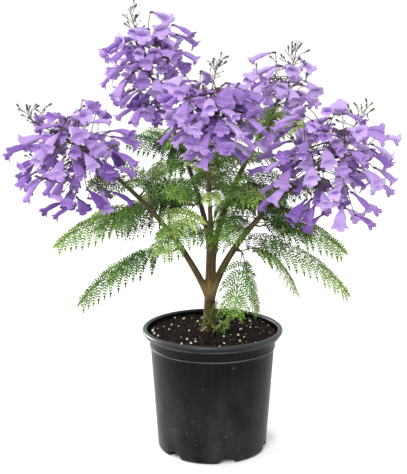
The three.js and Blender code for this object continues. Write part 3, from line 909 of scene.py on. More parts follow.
prototypes = []
chip_forms = forms_of(
    "chips",
    crumb("chip_a", 3, (1.0, 0.55, 0.3), 0.7, 1),
    crumb("chip_b", 4, (0.9, 0.8, 0.45), 0.8, 1),
    crumb("chip_c", 5, (1.5, 0.3, 0.25), 0.6, 1),
)
perlite_forms = forms_of(
    "perlite", crumb("perlite_a", 6, (1, 0.85, 0.8), 0.7, 2), crumb("perlite_b", 7, (1, 0.7, 0.75), 0.8, 2)
)
prototypes += [chip_forms, perlite_forms]


def scatter_tree(name, forms):
    """Drops crumbs of random size and turn on the faces that look up."""
    tree, inputs = new_tree(
        name,
        Spacing=("NodeSocketFloat", 3 * MM),
        Density=("NodeSocketFloat", 40000.0),
        Smallest=("NodeSocketFloat", 1 * MM),
        Largest=("NodeSocketFloat", 4 * MM),
        Seed=("NodeSocketInt", 1),
        Finish=("NodeSocketMaterial", None),
    )
    normal = add(tree, "GeometryNodeInputNormal").outputs["Normal"]
    rise = add(tree, "ShaderNodeSeparateXYZ", Vector=normal).outputs["Z"]
    above = {"operation": "GREATER_THAN"}
    looks_up = add(tree, "FunctionNodeCompare", above, n0=rise, n1=LEAST_RISE).outputs["Result"]
    seed = inputs["Seed"]
    drops = add(
        tree,
        "GeometryNodeDistributePointsOnFaces",
        {"distribute_method": "POISSON"},
        Mesh=inputs["Geometry"],
        Selection=looks_up,
        Distance_Min=inputs["Spacing"],
        Density_Max=inputs["Density"],
        Seed=seed,
    ).outputs["Points"]
    vectors = {"data_type": "FLOAT_VECTOR"}
    turn = add(tree, "FunctionNodeRandomValue", vectors, n1=FULL_TURN, Seed=seed)
    size = add(tree, "FunctionNodeRandomValue", n2=inputs["Smallest"], n3=inputs["Largest"], Seed=seed)
    crumbs = add(
        tree,
        "GeometryNodeInstanceOnPoints",
        Points=drops,
        Instance=shapes_of(tree, forms),
        Pick_Instance=True,
        Rotation=turn.outputs["Value"],
        Scale=size.outputs[1],
    ).outputs["Instances"]
    solid = add(tree, "GeometryNodeRealizeInstances", Geometry=crumbs).outputs["Geometry"]
    return end_tree(tree, paint(tree, solid, inputs["Finish"]))


def crumb_finish(name, *stops):
    material, tree, shader = new_finish(name, Roughness=0.9, Specular_IOR_Level=0.25)
    fine = cloud(tree, place_of(tree), 1.6 * MM, detail=6)
    patches = cloud(tree, place_of(tree), 9 * MM)
    mixed = add(tree, "ShaderNodeMix", n0=0.6, n2=fine, n3=patches).outputs[0]
    connect(tree, shader, Base_Color=ramp(tree, mixed, *stops))
    bump(tree, shader, fine, 0.4 * MM, 0.8)
    return material


def scattered(name, forms, finish, **sizes):
    piece = bpy.data.objects.new(name, soil.data.copy())
    bpy.context.scene.collection.objects.link(piece)
    make_plain(piece, scatter_tree(name, forms), Finish=finish, **sizes)
    keep(piece, "soil")


chip_stops = ((0.38, colour(10, 7, 5)), (0.5, colour(28, 18, 13)), (0.64, colour(74, 52, 38)))
chip_material = crumb_finish("bark_chip", *chip_stops)
perlite_material = crumb_finish("perlite", (0.3, colour(176, 164, 142)), (0.6, colour(238, 230, 214)))
chip_sizes = dict(Spacing=3.4 * MM, Smallest=1.6 * MM, Largest=4.2 * MM, Seed=2)
perlite_sizes = dict(Spacing=9 * MM, Density=2600.0, Smallest=0.6 * MM, Largest=3.1 * MM, Seed=5)
scattered("soil_chips", chip_forms, chip_material, **chip_sizes)
scattered("soil_perlite", perlite_forms, perlite_material, **perlite_sizes)

# %% [markdown]
# Growth is gathered in two kinds of list. Wires are polylines with a thickness, which become twigs and leaf
# ribs. Plantings are points that say which way a flower, bud or leaflet looks, how large it is and which
# tint it takes.

# %% Wires and plantings
TWIG_TAPER = 0.4


class Wires:
    """Polylines that share one mesh, with a thickness at each point that thins out fastest near the root."""

    def __init__(self):
        self.points = []
        self.edges = []
        self.thickness = []

    def add(self, path, root, tip, steps):
        first = len(self.points)
        shares = np.linspace(0, 1, steps + 1)
        self.points.extend(path.at(shares))
        self.thickness.extend(lerp(root, tip, shares**TWIG_TAPER))
        self.edges.extend((first + step, first + step + 1) for step in range(steps))

    def new_object(self, name):
        return new_object(name, self.points, edges=self.edges, thickness=self.thickness)


class Plantings:
    """Points that carry a direction, a facing side, a size, a form and a tint."""

    def __init__(self):
        self.rows = []

    def add(self, place, along, face, size, form, tint):
        self.rows.append((place, along, face, size, form, tint))

    def new_object(self, name):
        place, along, face, size, form, tint = (np.array(column) for column in zip(*self.rows))
        return new_object(name, place, along=along, face=face, size=size, form=form, tint=tint)


def upright(direction, roll=0.0):
    """The side of a direction that looks most nearly up, rolled round it."""
    across, other = frame_round(direction)
    return other * math.cos(roll) + across * math.sin(roll)


def wire_tree(name, sides):
    """Turns polylines with a thickness into closed tubes."""
    tree, inputs = new_tree(name, Sides=("NodeSocketInt", sides), Finish=("NodeSocketMaterial", None))
    curves = add(tree, "GeometryNodeMeshToCurve", Mesh=inputs["Geometry"]).outputs["Curve"]
    ring = add(tree, "GeometryNodeCurvePrimitiveCircle", Resolution=inputs["Sides"]).outputs["Curve"]
    tubes = add(
        tree,
        "GeometryNodeCurveToMesh",
        Curve=curves,
        Profile_Curve=ring,
        Scale=attribute(tree, "thickness"),
        Fill_Caps=True,
    ).outputs["Mesh"]
    return end_tree(tree, paint(tree, tubes, inputs["Finish"]))


def planting_tree(name, forms, tints, parts=()):
    """Sets forms on points, turned by their attributes, and paints their faces by tint and by part."""
    tree, inputs = new_tree(name, Growth=("NodeSocketFloat", 1.0))
    turn = add(
        tree,
        "FunctionNodeAxesToRotation",
        {"primary_axis": "Z", "secondary_axis": "X"},
        n0=attribute(tree, "along", "FLOAT_VECTOR"),
        n1=attribute(tree, "face", "FLOAT_VECTOR"),
    ).outputs["Rotation"]
    size = calculate(tree, "MULTIPLY", attribute(tree, "size"), inputs["Growth"])
    planted = add(
        tree,
        "GeometryNodeInstanceOnPoints",
        Points=inputs["Geometry"],
        Instance=shapes_of(tree, forms),
        Pick_Instance=True,
        Instance_Index=attribute(tree, "form", "INT"),
        Rotation=turn,
        Scale=size,
    ).outputs["Instances"]
    geometry = add(tree, "GeometryNodeRealizeInstances", Geometry=planted).outputs["Geometry"]
    lifted = calculate(tree, "ADD", attribute(tree, "tint", "INT"), attribute(tree, "lift", "INT"))
    shade = add(tree, "ShaderNodeClamp", Value=lifted, Min=0.0, Max=len(tints) - 1.0).outputs[0]
    for number, material in enumerate(tints):
        geometry = paint(tree, geometry, material, is_equal(tree, shade, number))
    for number, material in enumerate(parts):
        geometry = paint(tree, geometry, material, is_equal(tree, attribute(tree, "part", "INT"), number + 1))
    return end_tree(tree, geometry)


print("growth lists ready")

# %% [markdown]
# A jacaranda flower is a trumpet: a dark cup, a thin bent tube, a bell that is a little flattened, and five
# lobes of which the lowest is the longest. The mesh runs as rings up the outside, over the lobes and back
# down the inside, so the mouth has a real inner wall. Four forms, from barely open to wide open, are enough
# to look like many flowers.

# %% Flower forms
LOBE_COLUMNS = 6
FLOWER_COLUMNS = 5 * LOBE_COLUMNS
FLOWER_LENGTH = 45
TUBE_RINGS = ((0.02, 1.4), (0.13, 1.9), (0.24, 2.5), (0.34, 4.0), (0.45, 5.8), (0.6, 6.8), (0.76, 6.9))
MOUTH_SQUASH = 0.6
LOBE_REACH = (0.54, 0.84, 0.97, 1.0, 0.97, 0.84)
LOBE_LENGTHS = (0.92, 1.0, 1.2, 1.0, 0.92)
LOBE_CURLS = (1.7, 0.9, 0.5, 1.0, 1.5)
LOBE_SQUASH = 0.92
LOBE_SPREAD = (2.8, 7.8)
LOBE_RISE = (0.2, 0.17)
CURL_FALL = 0.07
INNER_FALL = 0.01
TOP_SIDE = 0.3
PETAL_WALL = 0.45
THROAT_SHARE = 0.74
CALYX_RINGS = ((-0.03, 0.9), (0.0, 2.1), (0.055, 2.5), (0.085, 2.3))
CALYX_COLUMNS = 8
PART_CALYX = 1
PART_THROAT = 2


def flower_form(name, flare, opening, bend):
    """A trumpet that starts along +Z, with its upper side towards +X. A flare of 1 spreads its lobes wide."""

    def spine(share):
        return bend * (1 - max(1 - share, 0) ** 2)

    def ring(share, radius):
        """A ring of the tube, round at its foot and flattened towards the mouth."""
        squash = lerp(1, MOUTH_SQUASH, share / TUBE_RINGS[-1][0])
        angles = np.arange(FLOWER_COLUMNS) / FLOWER_COLUMNS * 2 * math.pi
        x = spine(share) + radius * squash * np.cos(angles)
        y = radius * (2 - squash) * np.sin(angles)
        return [(x[k], y[k], share * FLOWER_LENGTH) for k in range(FLOWER_COLUMNS)]

    def lobe_ring(grow, inner):
        """A ring over the lobes, which start in the notch between the upper two and count round."""
        points = []
        mouth_share, mouth_radius = TUBE_RINGS[-1]
        squash = lerp(MOUTH_SQUASH, LOBE_SQUASH, grow)
        for column in range(FLOWER_COLUMNS):
            lobe, step = divmod(column, LOBE_COLUMNS)
            angle = column / FLOWER_COLUMNS * 2 * math.pi
            reach = LOBE_REACH[step] * LOBE_LENGTHS[lobe] * grow
            curl = reach * reach * flare * LOBE_CURLS[lobe]
            radius = mouth_radius * opening + reach * lerp(*LOBE_SPREAD, flare) - inner
            share = mouth_share + reach * lerp(*LOBE_RISE, flare) - curl * CURL_FALL - inner * INNER_FALL
            x = spine(share) + radius * squash * math.cos(angle)
            points.append((x, radius * (2 - squash) * math.sin(angle), share * FLOWER_LENGTH))
        return points

    rings = [ring(share, radius * lerp(1, opening, share)) for share, radius in TUBE_RINGS]
    rings += [lobe_ring(0.5, 0), lobe_ring(1, 0), lobe_ring(1, PETAL_WALL), lobe_ring(0.5, PETAL_WALL)]
    throat_rings = TUBE_RINGS[:4:-1]
    rings += [ring(share, radius * THROAT_SHARE * lerp(1, opening, share)) for share, radius in throat_rings]
    points = [point for row in rings for point in row]
    faces = grid_faces(len(rings), FLOWER_COLUMNS)
    lifts = []
    parts = []
    for number in range(len(rings) - 1):
        for column in range(FLOWER_COLUMNS):
            # Faces on the upper side: the backs of the upper lobes step a tint paler, a painted highlight of
            # light from above.
            on_top = math.cos(column / FLOWER_COLUMNS * 2 * math.pi) > TOP_SIDE
            outer = (-1, -1, 0, 0, 0, 0, 0, 1 if on_top else 0)
            inner = (0, 1, 1, 0)
            lifts.append((outer + inner)[number])
            parts.append(0 if number < len(rings) - 2 else PART_THROAT)
    deep = len(points) - FLOWER_COLUMNS
    faces.append(tuple(range(deep, len(points))))
    faces.append(tuple(range(FLOWER_COLUMNS))[::-1])
    lifts += [-1, -1]
    parts += [PART_THROAT, 0]

    first = len(points)
    angles = np.arange(CALYX_COLUMNS) / CALYX_COLUMNS * 2 * math.pi
    for share, radius in CALYX_RINGS:
        middle = spine(share)
        height = share * FLOWER_LENGTH
        points.extend((middle + radius * math.cos(a), radius * math.sin(a), height) for a in angles)
    cup = grid_faces(len(CALYX_RINGS), CALYX_COLUMNS, first)
    cup.append(tuple(range(first, first + CALYX_COLUMNS))[::-1])
    cup.append(tuple(range(len(points) - CALYX_COLUMNS, len(points))))
    faces += cup
    lifts += [0] * len(cup)
    parts += [PART_CALYX] * len(cup)

    piece = new_object(name, np.array(points) * MM, faces=faces)
    for key, values in (("lift", lifts), ("part", parts)):
        piece.data.attributes.new(key, "INT", "FACE").data.foreach_set("value", values)
    return piece


flower_forms = forms_of(
    "flowers",
    flower_form("flower_a", 1.0, 1.0, 12),
    flower_form("flower_b", 0.85, 1.08, 17),
    flower_form("flower_c", 0.6, 0.95, 15),
    flower_form("flower_d", 0.2, 0.8, 18),
)
prototypes.append(flower_forms)

# %% Bud forms
CLUB_RINGS = ((0.0, 0.55), (0.3, 0.75), (0.5, 1.3), (0.75, 2.0), (0.9, 1.9), (0.985, 1.0))
PIN_RINGS = ((0.0, 0.35), (0.55, 0.4), (0.7, 1.0), (0.88, 1.15), (0.985, 0.5))
BUD_COLUMNS = 7


def bud_form(name, rings, length, bend):
    """A closed bud along +Z, from rings of a share of its length and a radius in millimetres."""
    points = []
    for share, radius in rings:
        for column in range(BUD_COLUMNS):
            angle = column / BUD_COLUMNS * 2 * math.pi
            x = radius * math.cos(angle) + bend * share**2
            points.append((x, radius * math.sin(angle), share * length))
    faces = grid_faces(len(rings), BUD_COLUMNS)
    faces.append(tuple(range(BUD_COLUMNS))[::-1])
    faces.append(tuple(range(len(points) - BUD_COLUMNS, len(points))))
    return new_object(name, np.array(points) * MM, faces=faces)


bud_forms = forms_of("buds", bud_form("bud_club", CLUB_RINGS, 14, 2), bud_form("bud_pin", PIN_RINGS, 8, 0.5))
prototypes.append(bud_forms)
BUD_CLUB = 0
BUD_PIN = 1

# %% [markdown]
# A panicle grows by the rule of the solid one, carried further. An axis runs on from its bough. Side
# branches reach part of the way out, and each trumpet hangs from the nearest branch on a thin stalk. Two in
# three have their mouths near the panicle's outline, and the rest lie deeper. Buds sit on fine twigs at the
# top, and others wait among the open flowers. A flower that would crowd the tuft at the top is left out,
# and so is a bud that would sit in an open mouth.

# %% Panicles
PANICLES = dict(
    left=dict(
        centre=mm(-207, -36, 458), reach=mm(98, 80, 82), top=mm(-268, -38, 522),
        flowers=78, pale=0.2, tuft=1.0, drop=1.25,
    ),
    right=dict(
        centre=mm(167, -60, 452), reach=mm(105, 80, 84), top=mm(216, -60, 528),
        flowers=98, pale=0.9, tuft=0.9, drop=1.3,
    ),
    back_left=dict(
        centre=mm(-100, 120, 586), reach=mm(74, 74, 80), top=mm(-128, 120, 670),
        flowers=84, pale=0.6, tuft=0.62, drop=1.4,
    ),
    back_right=dict(
        centre=mm(118, 140, 556), reach=mm(66, 66, 56), top=mm(134, 140, 606),
        flowers=54, pale=2.6, tuft=0.9, drop=1.3,
    ),
    centre=dict(
        centre=mm(0, -95, 528), reach=mm(74, 64, 66), top=mm(5, -95, 604),
        flowers=108, pale=1.05, tuft=0.42, drop=1.15,
    ),
)
AXIS_BEND = 0.45
AXIS_TIP = 0.7 * MM
BRANCH_REACH = 0.52
BRANCH_HEIGHTS = (0.9, -0.7)
BRANCH_ROOTS = (0.12, 0.8)
BRANCH_ROOT_LIMITS = (0.08, 0.85)
BRANCH_RADII = (1.0 * MM, 0.6 * MM)
FLOWERS_PER_BRANCH = 3
FLOWER_HEIGHTS = (0.9, -0.98)
OUTER_DEPTHS = (0.8, 1.07)
INNER_DEPTHS = (0.42, 0.72)
FLOWER_SIZES = (0.82, 1.04)
STALK_RADII = (0.55 * MM, 0.6 * MM)
SPRAY_RADII = (0.65 * MM, 0.42 * MM)
FORK_RADII = (0.42 * MM, 0.36 * MM)
TUFT_RISES = (-5, 62)
TUFT_LENGTHS = (15, 28)
TUFT_START = 0.86
TUFT_LEAN = 0.3
TUFT_BUD_SIZE = 0.92
WAITING_BUD_SIZE = 1.05
WAITING_BUD_SHARE = 0.6
CLUB_SHARE = 0.6
BUD_TINT_RANGE = 2.4
BUD_SIZES = (0.7, 1)
SPRAY_ARCH = 0.06
FORK_START = 0.45
FORK_RISES = (-10, 55)
FORK_LENGTHS = (2, 5)
BRANCH_ARCH = 0.12
BRANCH_LENGTHS = (0.8, 1.2)
WAITING_LENGTHS = (8, 20)
HEADING_SCATTER = 0.45
STALK_START = 0.55
STALK_BEND = 0.6
STALK_ARCH = 3
FORM_RANGE = 4.4
TINT_RANGE = 3.9
# How much paler flowers high in a panicle are painted, a painted highlight of the light from above.
TOP_PAINTED_LIGHT = 0.8
FACE_ROLL = 0.5
NOD_MIDDLE = 42
NOD_RANGE = 18
NOD_SCATTER = 15
TOP_LEAN = 0.25
TUFT_ROOM = 30 * MM
PETAL_TINTS = 6
TUFT_SPRAYS = 9
BUD_MIDDLE = 6 * MM
MOUTH_RISE = 13 * MM
MOUTH_ROOM = 12 * MM
twigs = Wires()
buds = Plantings()


def arched(start, end, arch):
    """A twig that bows upwards by a share of its length."""
    middle = lerp(start, end, 0.5) + UP * arch * np.linalg.norm(end - start)
    return Path(start, middle, end)


def bud_spray(start, direction, length, largest, draw):
    """A fine twig that forks in its outer half, with a bud on each fork."""
    path = arched(start, start + direction * length, SPRAY_ARCH)
    twigs.add(path, *SPRAY_RADII, 4)
    count = 1 + int(draw() * 3)
    for number in range(count):
        root = path.at(lerp(FORK_START, 1, (number + 1) / count))
        lean = aim(number * GOLDEN + draw() * 6, math.radians(lerp(*FORK_RISES, draw())))
        out = unit(direction * 0.7 + lean * 0.75)
        tip = root + out * lerp(*FORK_LENGTHS, draw()) * MM
        twigs.add(Path(root, tip), *FORK_RADII, 1)
        form = BUD_CLUB if draw() < CLUB_SHARE else BUD_PIN
        face = upright(out, draw() * 6)
        size = lerp(*BUD_SIZES, draw()) * largest
        buds.add(tip, out, face, size, form, int(draw() * BUD_TINT_RANGE))


def nodding(outward, draw):
    """Flowers look outwards and nod: a little at the top of a panicle, steeply at its foot."""
    heading = math.atan2(outward[1], outward[0]) + lerp(-HEADING_SCATTER, HEADING_SCATTER, draw())
    nod = NOD_MIDDLE - NOD_RANGE * outward[2] + lerp(-NOD_SCATTER, NOD_SCATTER, draw())
    return aim(heading, -math.radians(nod))


def to_outline(plan, outward):
    """From a panicle's middle to its outline, which is drawn out downwards by its drop."""
    stretch = np.array((1, 1, plan["drop"] if outward[2] < 0 else 1))
    return outward * plan["reach"] * stretch


def grow_panicle(name, plan, seed):
    draw = seeded(seed)
    bough = limbs[name]
    flowers = Plantings()
    root = bough.path.at(1)
    bend = root + bough.path.along(1) * np.linalg.norm(plan["top"] - root) * AXIS_BEND
    axis = Path(root, bend, plan["top"])
    twigs.add(axis, bough.radius_at(1), AXIS_TIP, 14)
    for number in range(TUFT_SPRAYS):
        share = number / (TUFT_SPRAYS - 1)
        rise = math.radians(lerp(*TUFT_RISES, share))
        direction = unit(aim(number * GOLDEN + draw(), rise) + axis.along(1) * TUFT_LEAN)
        length = lerp(*TUFT_LENGTHS, draw()) * MM * plan["tuft"]
        bud_spray(axis.at(lerp(TUFT_START, 1, share)), direction, length, TUFT_BUD_SIZE, draw)

    branches = []
    count = round(plan["flowers"] / FLOWERS_PER_BRANCH)
    for number in range(count):
        outward = spread(number, count, *BRANCH_HEIGHTS, seed)
        end = plan["centre"] + to_outline(plan, outward) * BRANCH_REACH * lerp(*BRANCH_LENGTHS, draw())
        height = (end[2] - plan["centre"][2]) / plan["reach"][2] + 0.5
        lowest, highest = BRANCH_ROOT_LIMITS
        share = min(max(lerp(*BRANCH_ROOTS, height), lowest), highest)
        branch = arched(axis.at(share), end, BRANCH_ARCH)
        twigs.add(branch, *BRANCH_RADII, 6)
        branches.append(branch)
        if draw() < WAITING_BUD_SHARE:
            length = lerp(*WAITING_LENGTHS, draw()) * MM
            bud_spray(branch.at(0.95), unit(outward + UP * 0.3), length, WAITING_BUD_SIZE, draw)

    lean = (plan["top"] - plan["centre"]) * np.array((TOP_LEAN, TOP_LEAN, 0))
    for number in range(plan["flowers"]):
        outward = spread(number, plan["flowers"], *FLOWER_HEIGHTS, seed)
        depth = lerp(*(OUTER_DEPTHS if number % 3 else INNER_DEPTHS), draw())
        mouth = plan["centre"] + to_outline(plan, outward) * depth + lean * max(outward[2], 0)
        direction = nodding(outward, draw)
        size = lerp(*FLOWER_SIZES, draw())
        foot = mouth - direction * FLOWER_LENGTH * MM * size
        branch = min(branches, key=lambda path: np.linalg.norm(path.at(1) - foot))
        start = branch.at(lerp(STALK_START, 1, draw()))
        form = min(int(draw() * FORM_RANGE), len(flower_forms.objects) - 1)
        # Flowers high in a panicle take paler tints, a painted highlight of the light from above.
        tint = int(draw() * TINT_RANGE + plan["pale"] + TOP_PAINTED_LIGHT * (1 + outward[2]))
        face = upright(direction, lerp(-FACE_ROLL, FACE_ROLL, draw()))
        if min(np.linalg.norm(plan["top"] - mouth), np.linalg.norm(plan["top"] - foot)) < TUFT_ROOM:
            continue
        middle = lerp(start, foot, STALK_BEND) + UP * STALK_ARCH * MM - direction * STALK_ARCH * MM
        stalk = Path(start, middle, foot)
        twigs.add(stalk, *STALK_RADII, 4)
        flowers.add(foot, direction, face, size, form, min(tint, PETAL_TINTS - 1))
    return flowers


def mouth_of(row):
    """The middle of an open flower's mouth."""
    foot, along, face, size, *_ = row
    return foot + (along * FLOWER_LENGTH * MM + face * MOUTH_RISE) * size


def clear_of(mouths, row):
    """Whether the bud of a row lies outside every open flower's mouth."""
    middle = row[0] + row[1] * row[3] * BUD_MIDDLE
    return np.linalg.norm(mouths - middle, axis=1).min() > MOUTH_ROOM


panicle_flowers = {}
for seed, (name, plan) in enumerate(PANICLES.items(), 1):
    panicle_flowers[name] = grow_panicle(name, plan, seed)
open_mouths = np.array([mouth_of(row) for flowers in panicle_flowers.values() for row in flowers.rows])
buds.rows = [row for row in buds.rows if clear_of(open_mouths, row)]
counts = {name: len(flowers.rows) for name, flowers in panicle_flowers.items()}
print("flowers:", counts, "and", len(buds.rows), "buds")

# %% [markdown]
# Petals run from deep violet to pale lilac. Each flower gets a tint, and the parts of one flower step up or
# down from it: darker at the foot of the tube and paler inside the lobes. The backs of the upper lobes step
# paler too, a painted highlight of the light from above, and flowers high in a panicle take paler tints for
# the same reason. The throat is light lilac. Fine streaks stand for veins and vary each tint a little.

# %% Petals
VEIN_SHADE = 0.74


def petal_finish(name, tone):
    sheen = dict(Sheen_Weight=0.25, Sheen_Roughness=0.4)
    material, tree, shader = new_finish(name, Roughness=0.58, Specular_IOR_Level=0.3, **sheen)
    veins = cloud(tree, place_of(tree, (1, 1, 0.35)), 2.4 * MM, detail=3)
    stops = ((0.3, darkened(tone, VEIN_SHADE)), (0.62, tone))
    connect(tree, shader, Base_Color=ramp(tree, veins, *stops))
    bump(tree, shader, veins, 0.25 * MM, 0.35)
    return material


def speckled_finish(name, dark, light, roughness, grain_size):
    material, tree, shader = new_finish(name, Roughness=roughness, Specular_IOR_Level=0.35)
    speckle = cloud(tree, place_of(tree), grain_size, detail=4)
    connect(tree, shader, Base_Color=ramp(tree, speckle, (0.35, dark), (0.65, light)))
    bump(tree, shader, speckle, 0.2 * MM, 0.4)
    return material


petal_tones = (
    colour(94, 56, 136),
    colour(118, 80, 159),
    colour(140, 102, 179),
    colour(160, 124, 195),
    colour(178, 146, 208),
    colour(192, 164, 222),
)
petals = [petal_finish(f"petal_{number}", tone) for number, tone in enumerate(petal_tones)]
calyx = speckled_finish("calyx", colour(52, 36, 58), colour(92, 70, 96), 0.6, 2 * MM)
throat = speckled_finish("throat", colour(182, 146, 220), colour(210, 178, 238), 0.65, 3 * MM)
flower_tree = planting_tree("flowers", flower_forms, petals, (calyx, throat))
for name, flowers in panicle_flowers.items():
    piece = make_plain(flowers.new_object(f"blossom_{name}"), flower_tree, Growth=1.0)
    keep(piece, "blossom", f"panicle_{name}")

# %% Buds and twigs
bud_tints = [
    speckled_finish("bud_dark", colour(44, 36, 42), colour(86, 74, 90), 0.55, 2.5 * MM),
    speckled_finish("bud_olive", colour(62, 58, 40), colour(106, 98, 72), 0.55, 2.5 * MM),
    speckled_finish("bud_violet", colour(70, 46, 96), colour(112, 82, 146), 0.55, 2.5 * MM),
]
bud_piece = make_plain(buds.new_object("buds"), planting_tree("buds", bud_forms, bud_tints), Growth=1.0)
keep(bud_piece, "blossom")
twig_material = speckled_finish("twig", colour(46, 38, 26), colour(92, 78, 50), 0.7, 3 * MM)
twig_piece = make_plain(twigs.new_object("twigs"), wire_tree("twigs", 5), Finish=twig_material)
keep(twig_piece, "bark")

# %% [markdown]
# A jacaranda leaf is a frond: a midrib with pairs of side ribs, and each side rib is a comb of small
# leaflets that ends in a longer one. The fronds of the plan come first. On the larger shoots of three,
# shorter ones fill the spaces between them, and short fronds stand along the boughs. Side ribs droop under
# their own weight, and less on a shoot's fronds that stand up.

# %% Fronds
FROND_ARCH = 0.55
FROND_WANDER = 8
FROND_SHORTEST = 0.86
FROND_TILT = math.radians(36)
FEWEST_PAIRS = 3
PAIR_STEP = 20 * MM
FIRST_PAIR = 0.17
FROND_TIP = 14 * MM
PINNA_LENGTH = 31 * MM
PINNA_SHARE = 0.3
FIRST_SWEEP = math.radians(66)
LAST_SWEEP = math.radians(34)
LEAFLET_SPACING = 4.1 * MM
LEAFLET_LENGTH = 8.8 * MM
LEAFLET_SWEEP = math.radians(54)
LEAF_TINTS = 5
LEAFLET_SIDE = 0
LEAFLET_END = 1
SPROUTS = dict(left=10, right=10, back_left=13, back_right=12, centre=9)
FOOT_SPROUTS = 3
FOOT_DROOP = 0.2
FULL_FROND = 110 * MM
LEAST_SCALE = 0.62
LAST_PAIR = 0.985
PAIR_CROWDING = 0.9
FROND_SWELL = (0.22, 0.86)
TIP_SHADE = 1.5
END_SHADE = 1.6
SPROUT_SEED = 40
FOOT_SEED = 60
RIB_RADII = (0.8 * MM, 0.5 * MM)
MIDRIB_RADII = (1.1 * MM, 0.4 * MM)
SHOOT_FRONDS = (0.8, 0.97)
FRESH_FROND = 0.9
SPROUT_SHARES = (0.4, 0.9)
SPROUT_REACH = (60, 104)
SPROUT_DROOP = 0.35
SPROUT_SHADES = (-1.2, 2.8)
FOOT_HEADINGS = (235, 385)
FOOT_SHARES = (0.03, 0.16)
FOOT_RISES = (48, 78)
FOOT_REACH = (34, 50)
FOOT_SPRIG_DROOP = 0.1
FOOT_SPRIG_HANG = 0.3
FOOT_SHADES = (1.6, 2.8)
# How much broader than the rest the fronds of some shoots are.
BREADTH = dict(centre_low=1.25, centre_high=1.2, back_right_high=1.3, right_front=1.1)
# How many more young fronds stand up near a shoot's tip.
YOUNG_FRONDS = dict(back_right_high=5)
# How yellow-green the fronds of some shoots are. The rest are a deeper green.
YOUTH = dict(
    left_low=0.8,
    left_mid=1.4,
    right_low=1.5,
    right_mid=1.5,
    right_front=0.6,
    centre_low=0.8,
    centre_high=1.1,
    back_right_high=2.9,
    trunk_foot=2.0,
)
FRONT = np.array((0, -1, 0))
ribs = Wires()


def leaflet_rib(leaflets, path, normal, shade, length, draw):
    """A side rib with pairs of leaflets that shorten towards its tip, and a slim one at the end."""
    scale = length / LEAFLET_LENGTH
    pairs = max(round(path.length / LEAFLET_SPACING), 2)
    thick, thin = RIB_RADII
    ribs.add(path, thick * scale, thin * scale, 3)
    for pair in range(pairs):
        share = (pair + 0.7) / (pairs + 0.1)
        place = path.at(share)
        forward = path.along(share)
        side = unit(np.cross(normal, forward))
        up = np.cross(forward, side)
        size = length * lerp(1.0, 0.5, share**2) * lerp(0.9, 1.1, draw())
        for away in (-1, 1):
            lean = LEAFLET_SWEEP * lerp(1.1, 0.8, share) * lerp(0.9, 1.1, draw())
            along = forward * math.cos(lean) + side * away * math.sin(lean) - UP * 0.1
            tint = min(max(int(shade + draw() * 1.3), 0), LEAF_TINTS - 1)
            leaflets.add(place, unit(along), up, size, LEAFLET_SIDE, tint)
    forward = path.along(1)
    up = np.cross(forward, unit(np.cross(normal, forward)))
    tint = min(max(round(shade), 0), LEAF_TINTS - 1)
    leaflets.add(path.at(0.94), forward, up, length * lerp(1.05, 1.4, draw()), LEAFLET_END, tint)


def frond(leaflets, root, heading, rise, reach, droop, hang, shade, draw, breadth=1):
    """A midrib that arches out and down, with a blade that tilts towards the front."""
    out = aim(heading, rise)
    stretch = reach - FROND_TIP
    rachis = Path(root, root + out * stretch * FROND_ARCH, root + out * stretch - UP * droop * stretch)
    ribs.add(rachis, *MIDRIB_RADII, 14)
    tilt = -FROND_TILT * math.cos(heading)
    side = aim(heading + math.pi / 2, 0) * math.cos(tilt) - UP * math.sin(tilt)
    pairs = FEWEST_PAIRS + round(reach / PAIR_STEP)
    longest = min(PINNA_LENGTH, reach * PINNA_SHARE) * breadth
    leaf_length = LEAFLET_LENGTH * min(max(reach / FULL_FROND, LEAST_SCALE), 1)
    for pair in range(pairs):
        share = lerp(FIRST_PAIR, LAST_PAIR, (pair / (pairs - 0.5)) ** PAIR_CROWDING)
        place = rachis.at(share)
        forward = rachis.along(share)
        across = unit(side - forward * side.dot(forward))
        normal = np.cross(forward, across)
        length = longest * math.sin(math.pi * lerp(*FROND_SWELL, share))
        for away in (-1, 1):
            turn = lerp(FIRST_SWEEP, LAST_SWEEP, share) * lerp(0.9, 1.1, draw())
            direction = forward * math.cos(turn) + across * away * math.sin(turn)
            span = length * lerp(0.88, 1.08, draw())
            lifted = max(across[2] * away, 0)
            fall = hang * (1 - 0.8 * lifted) * lerp(0.8, 1.1, draw())
            tip = place + direction * span * (1 - 0.45 * fall) - UP * span * 0.8 * fall
            path = Path(place, place + direction * span * 0.5 + normal * span * 0.05, tip)
            turned_out = unit(normal + FRONT * fall)
            leaflet_rib(leaflets, path, turned_out, shade + TIP_SHADE * share, leaf_length, draw)
    end = rachis.at(1)
    forward = rachis.along(1)
    tip = end + forward * FROND_TIP * 0.5
    normal = np.cross(forward, unit(side - forward * side.dot(forward)))
    leaflet_rib(leaflets, Path(end, tip), normal, shade + END_SHADE, leaf_length, draw)


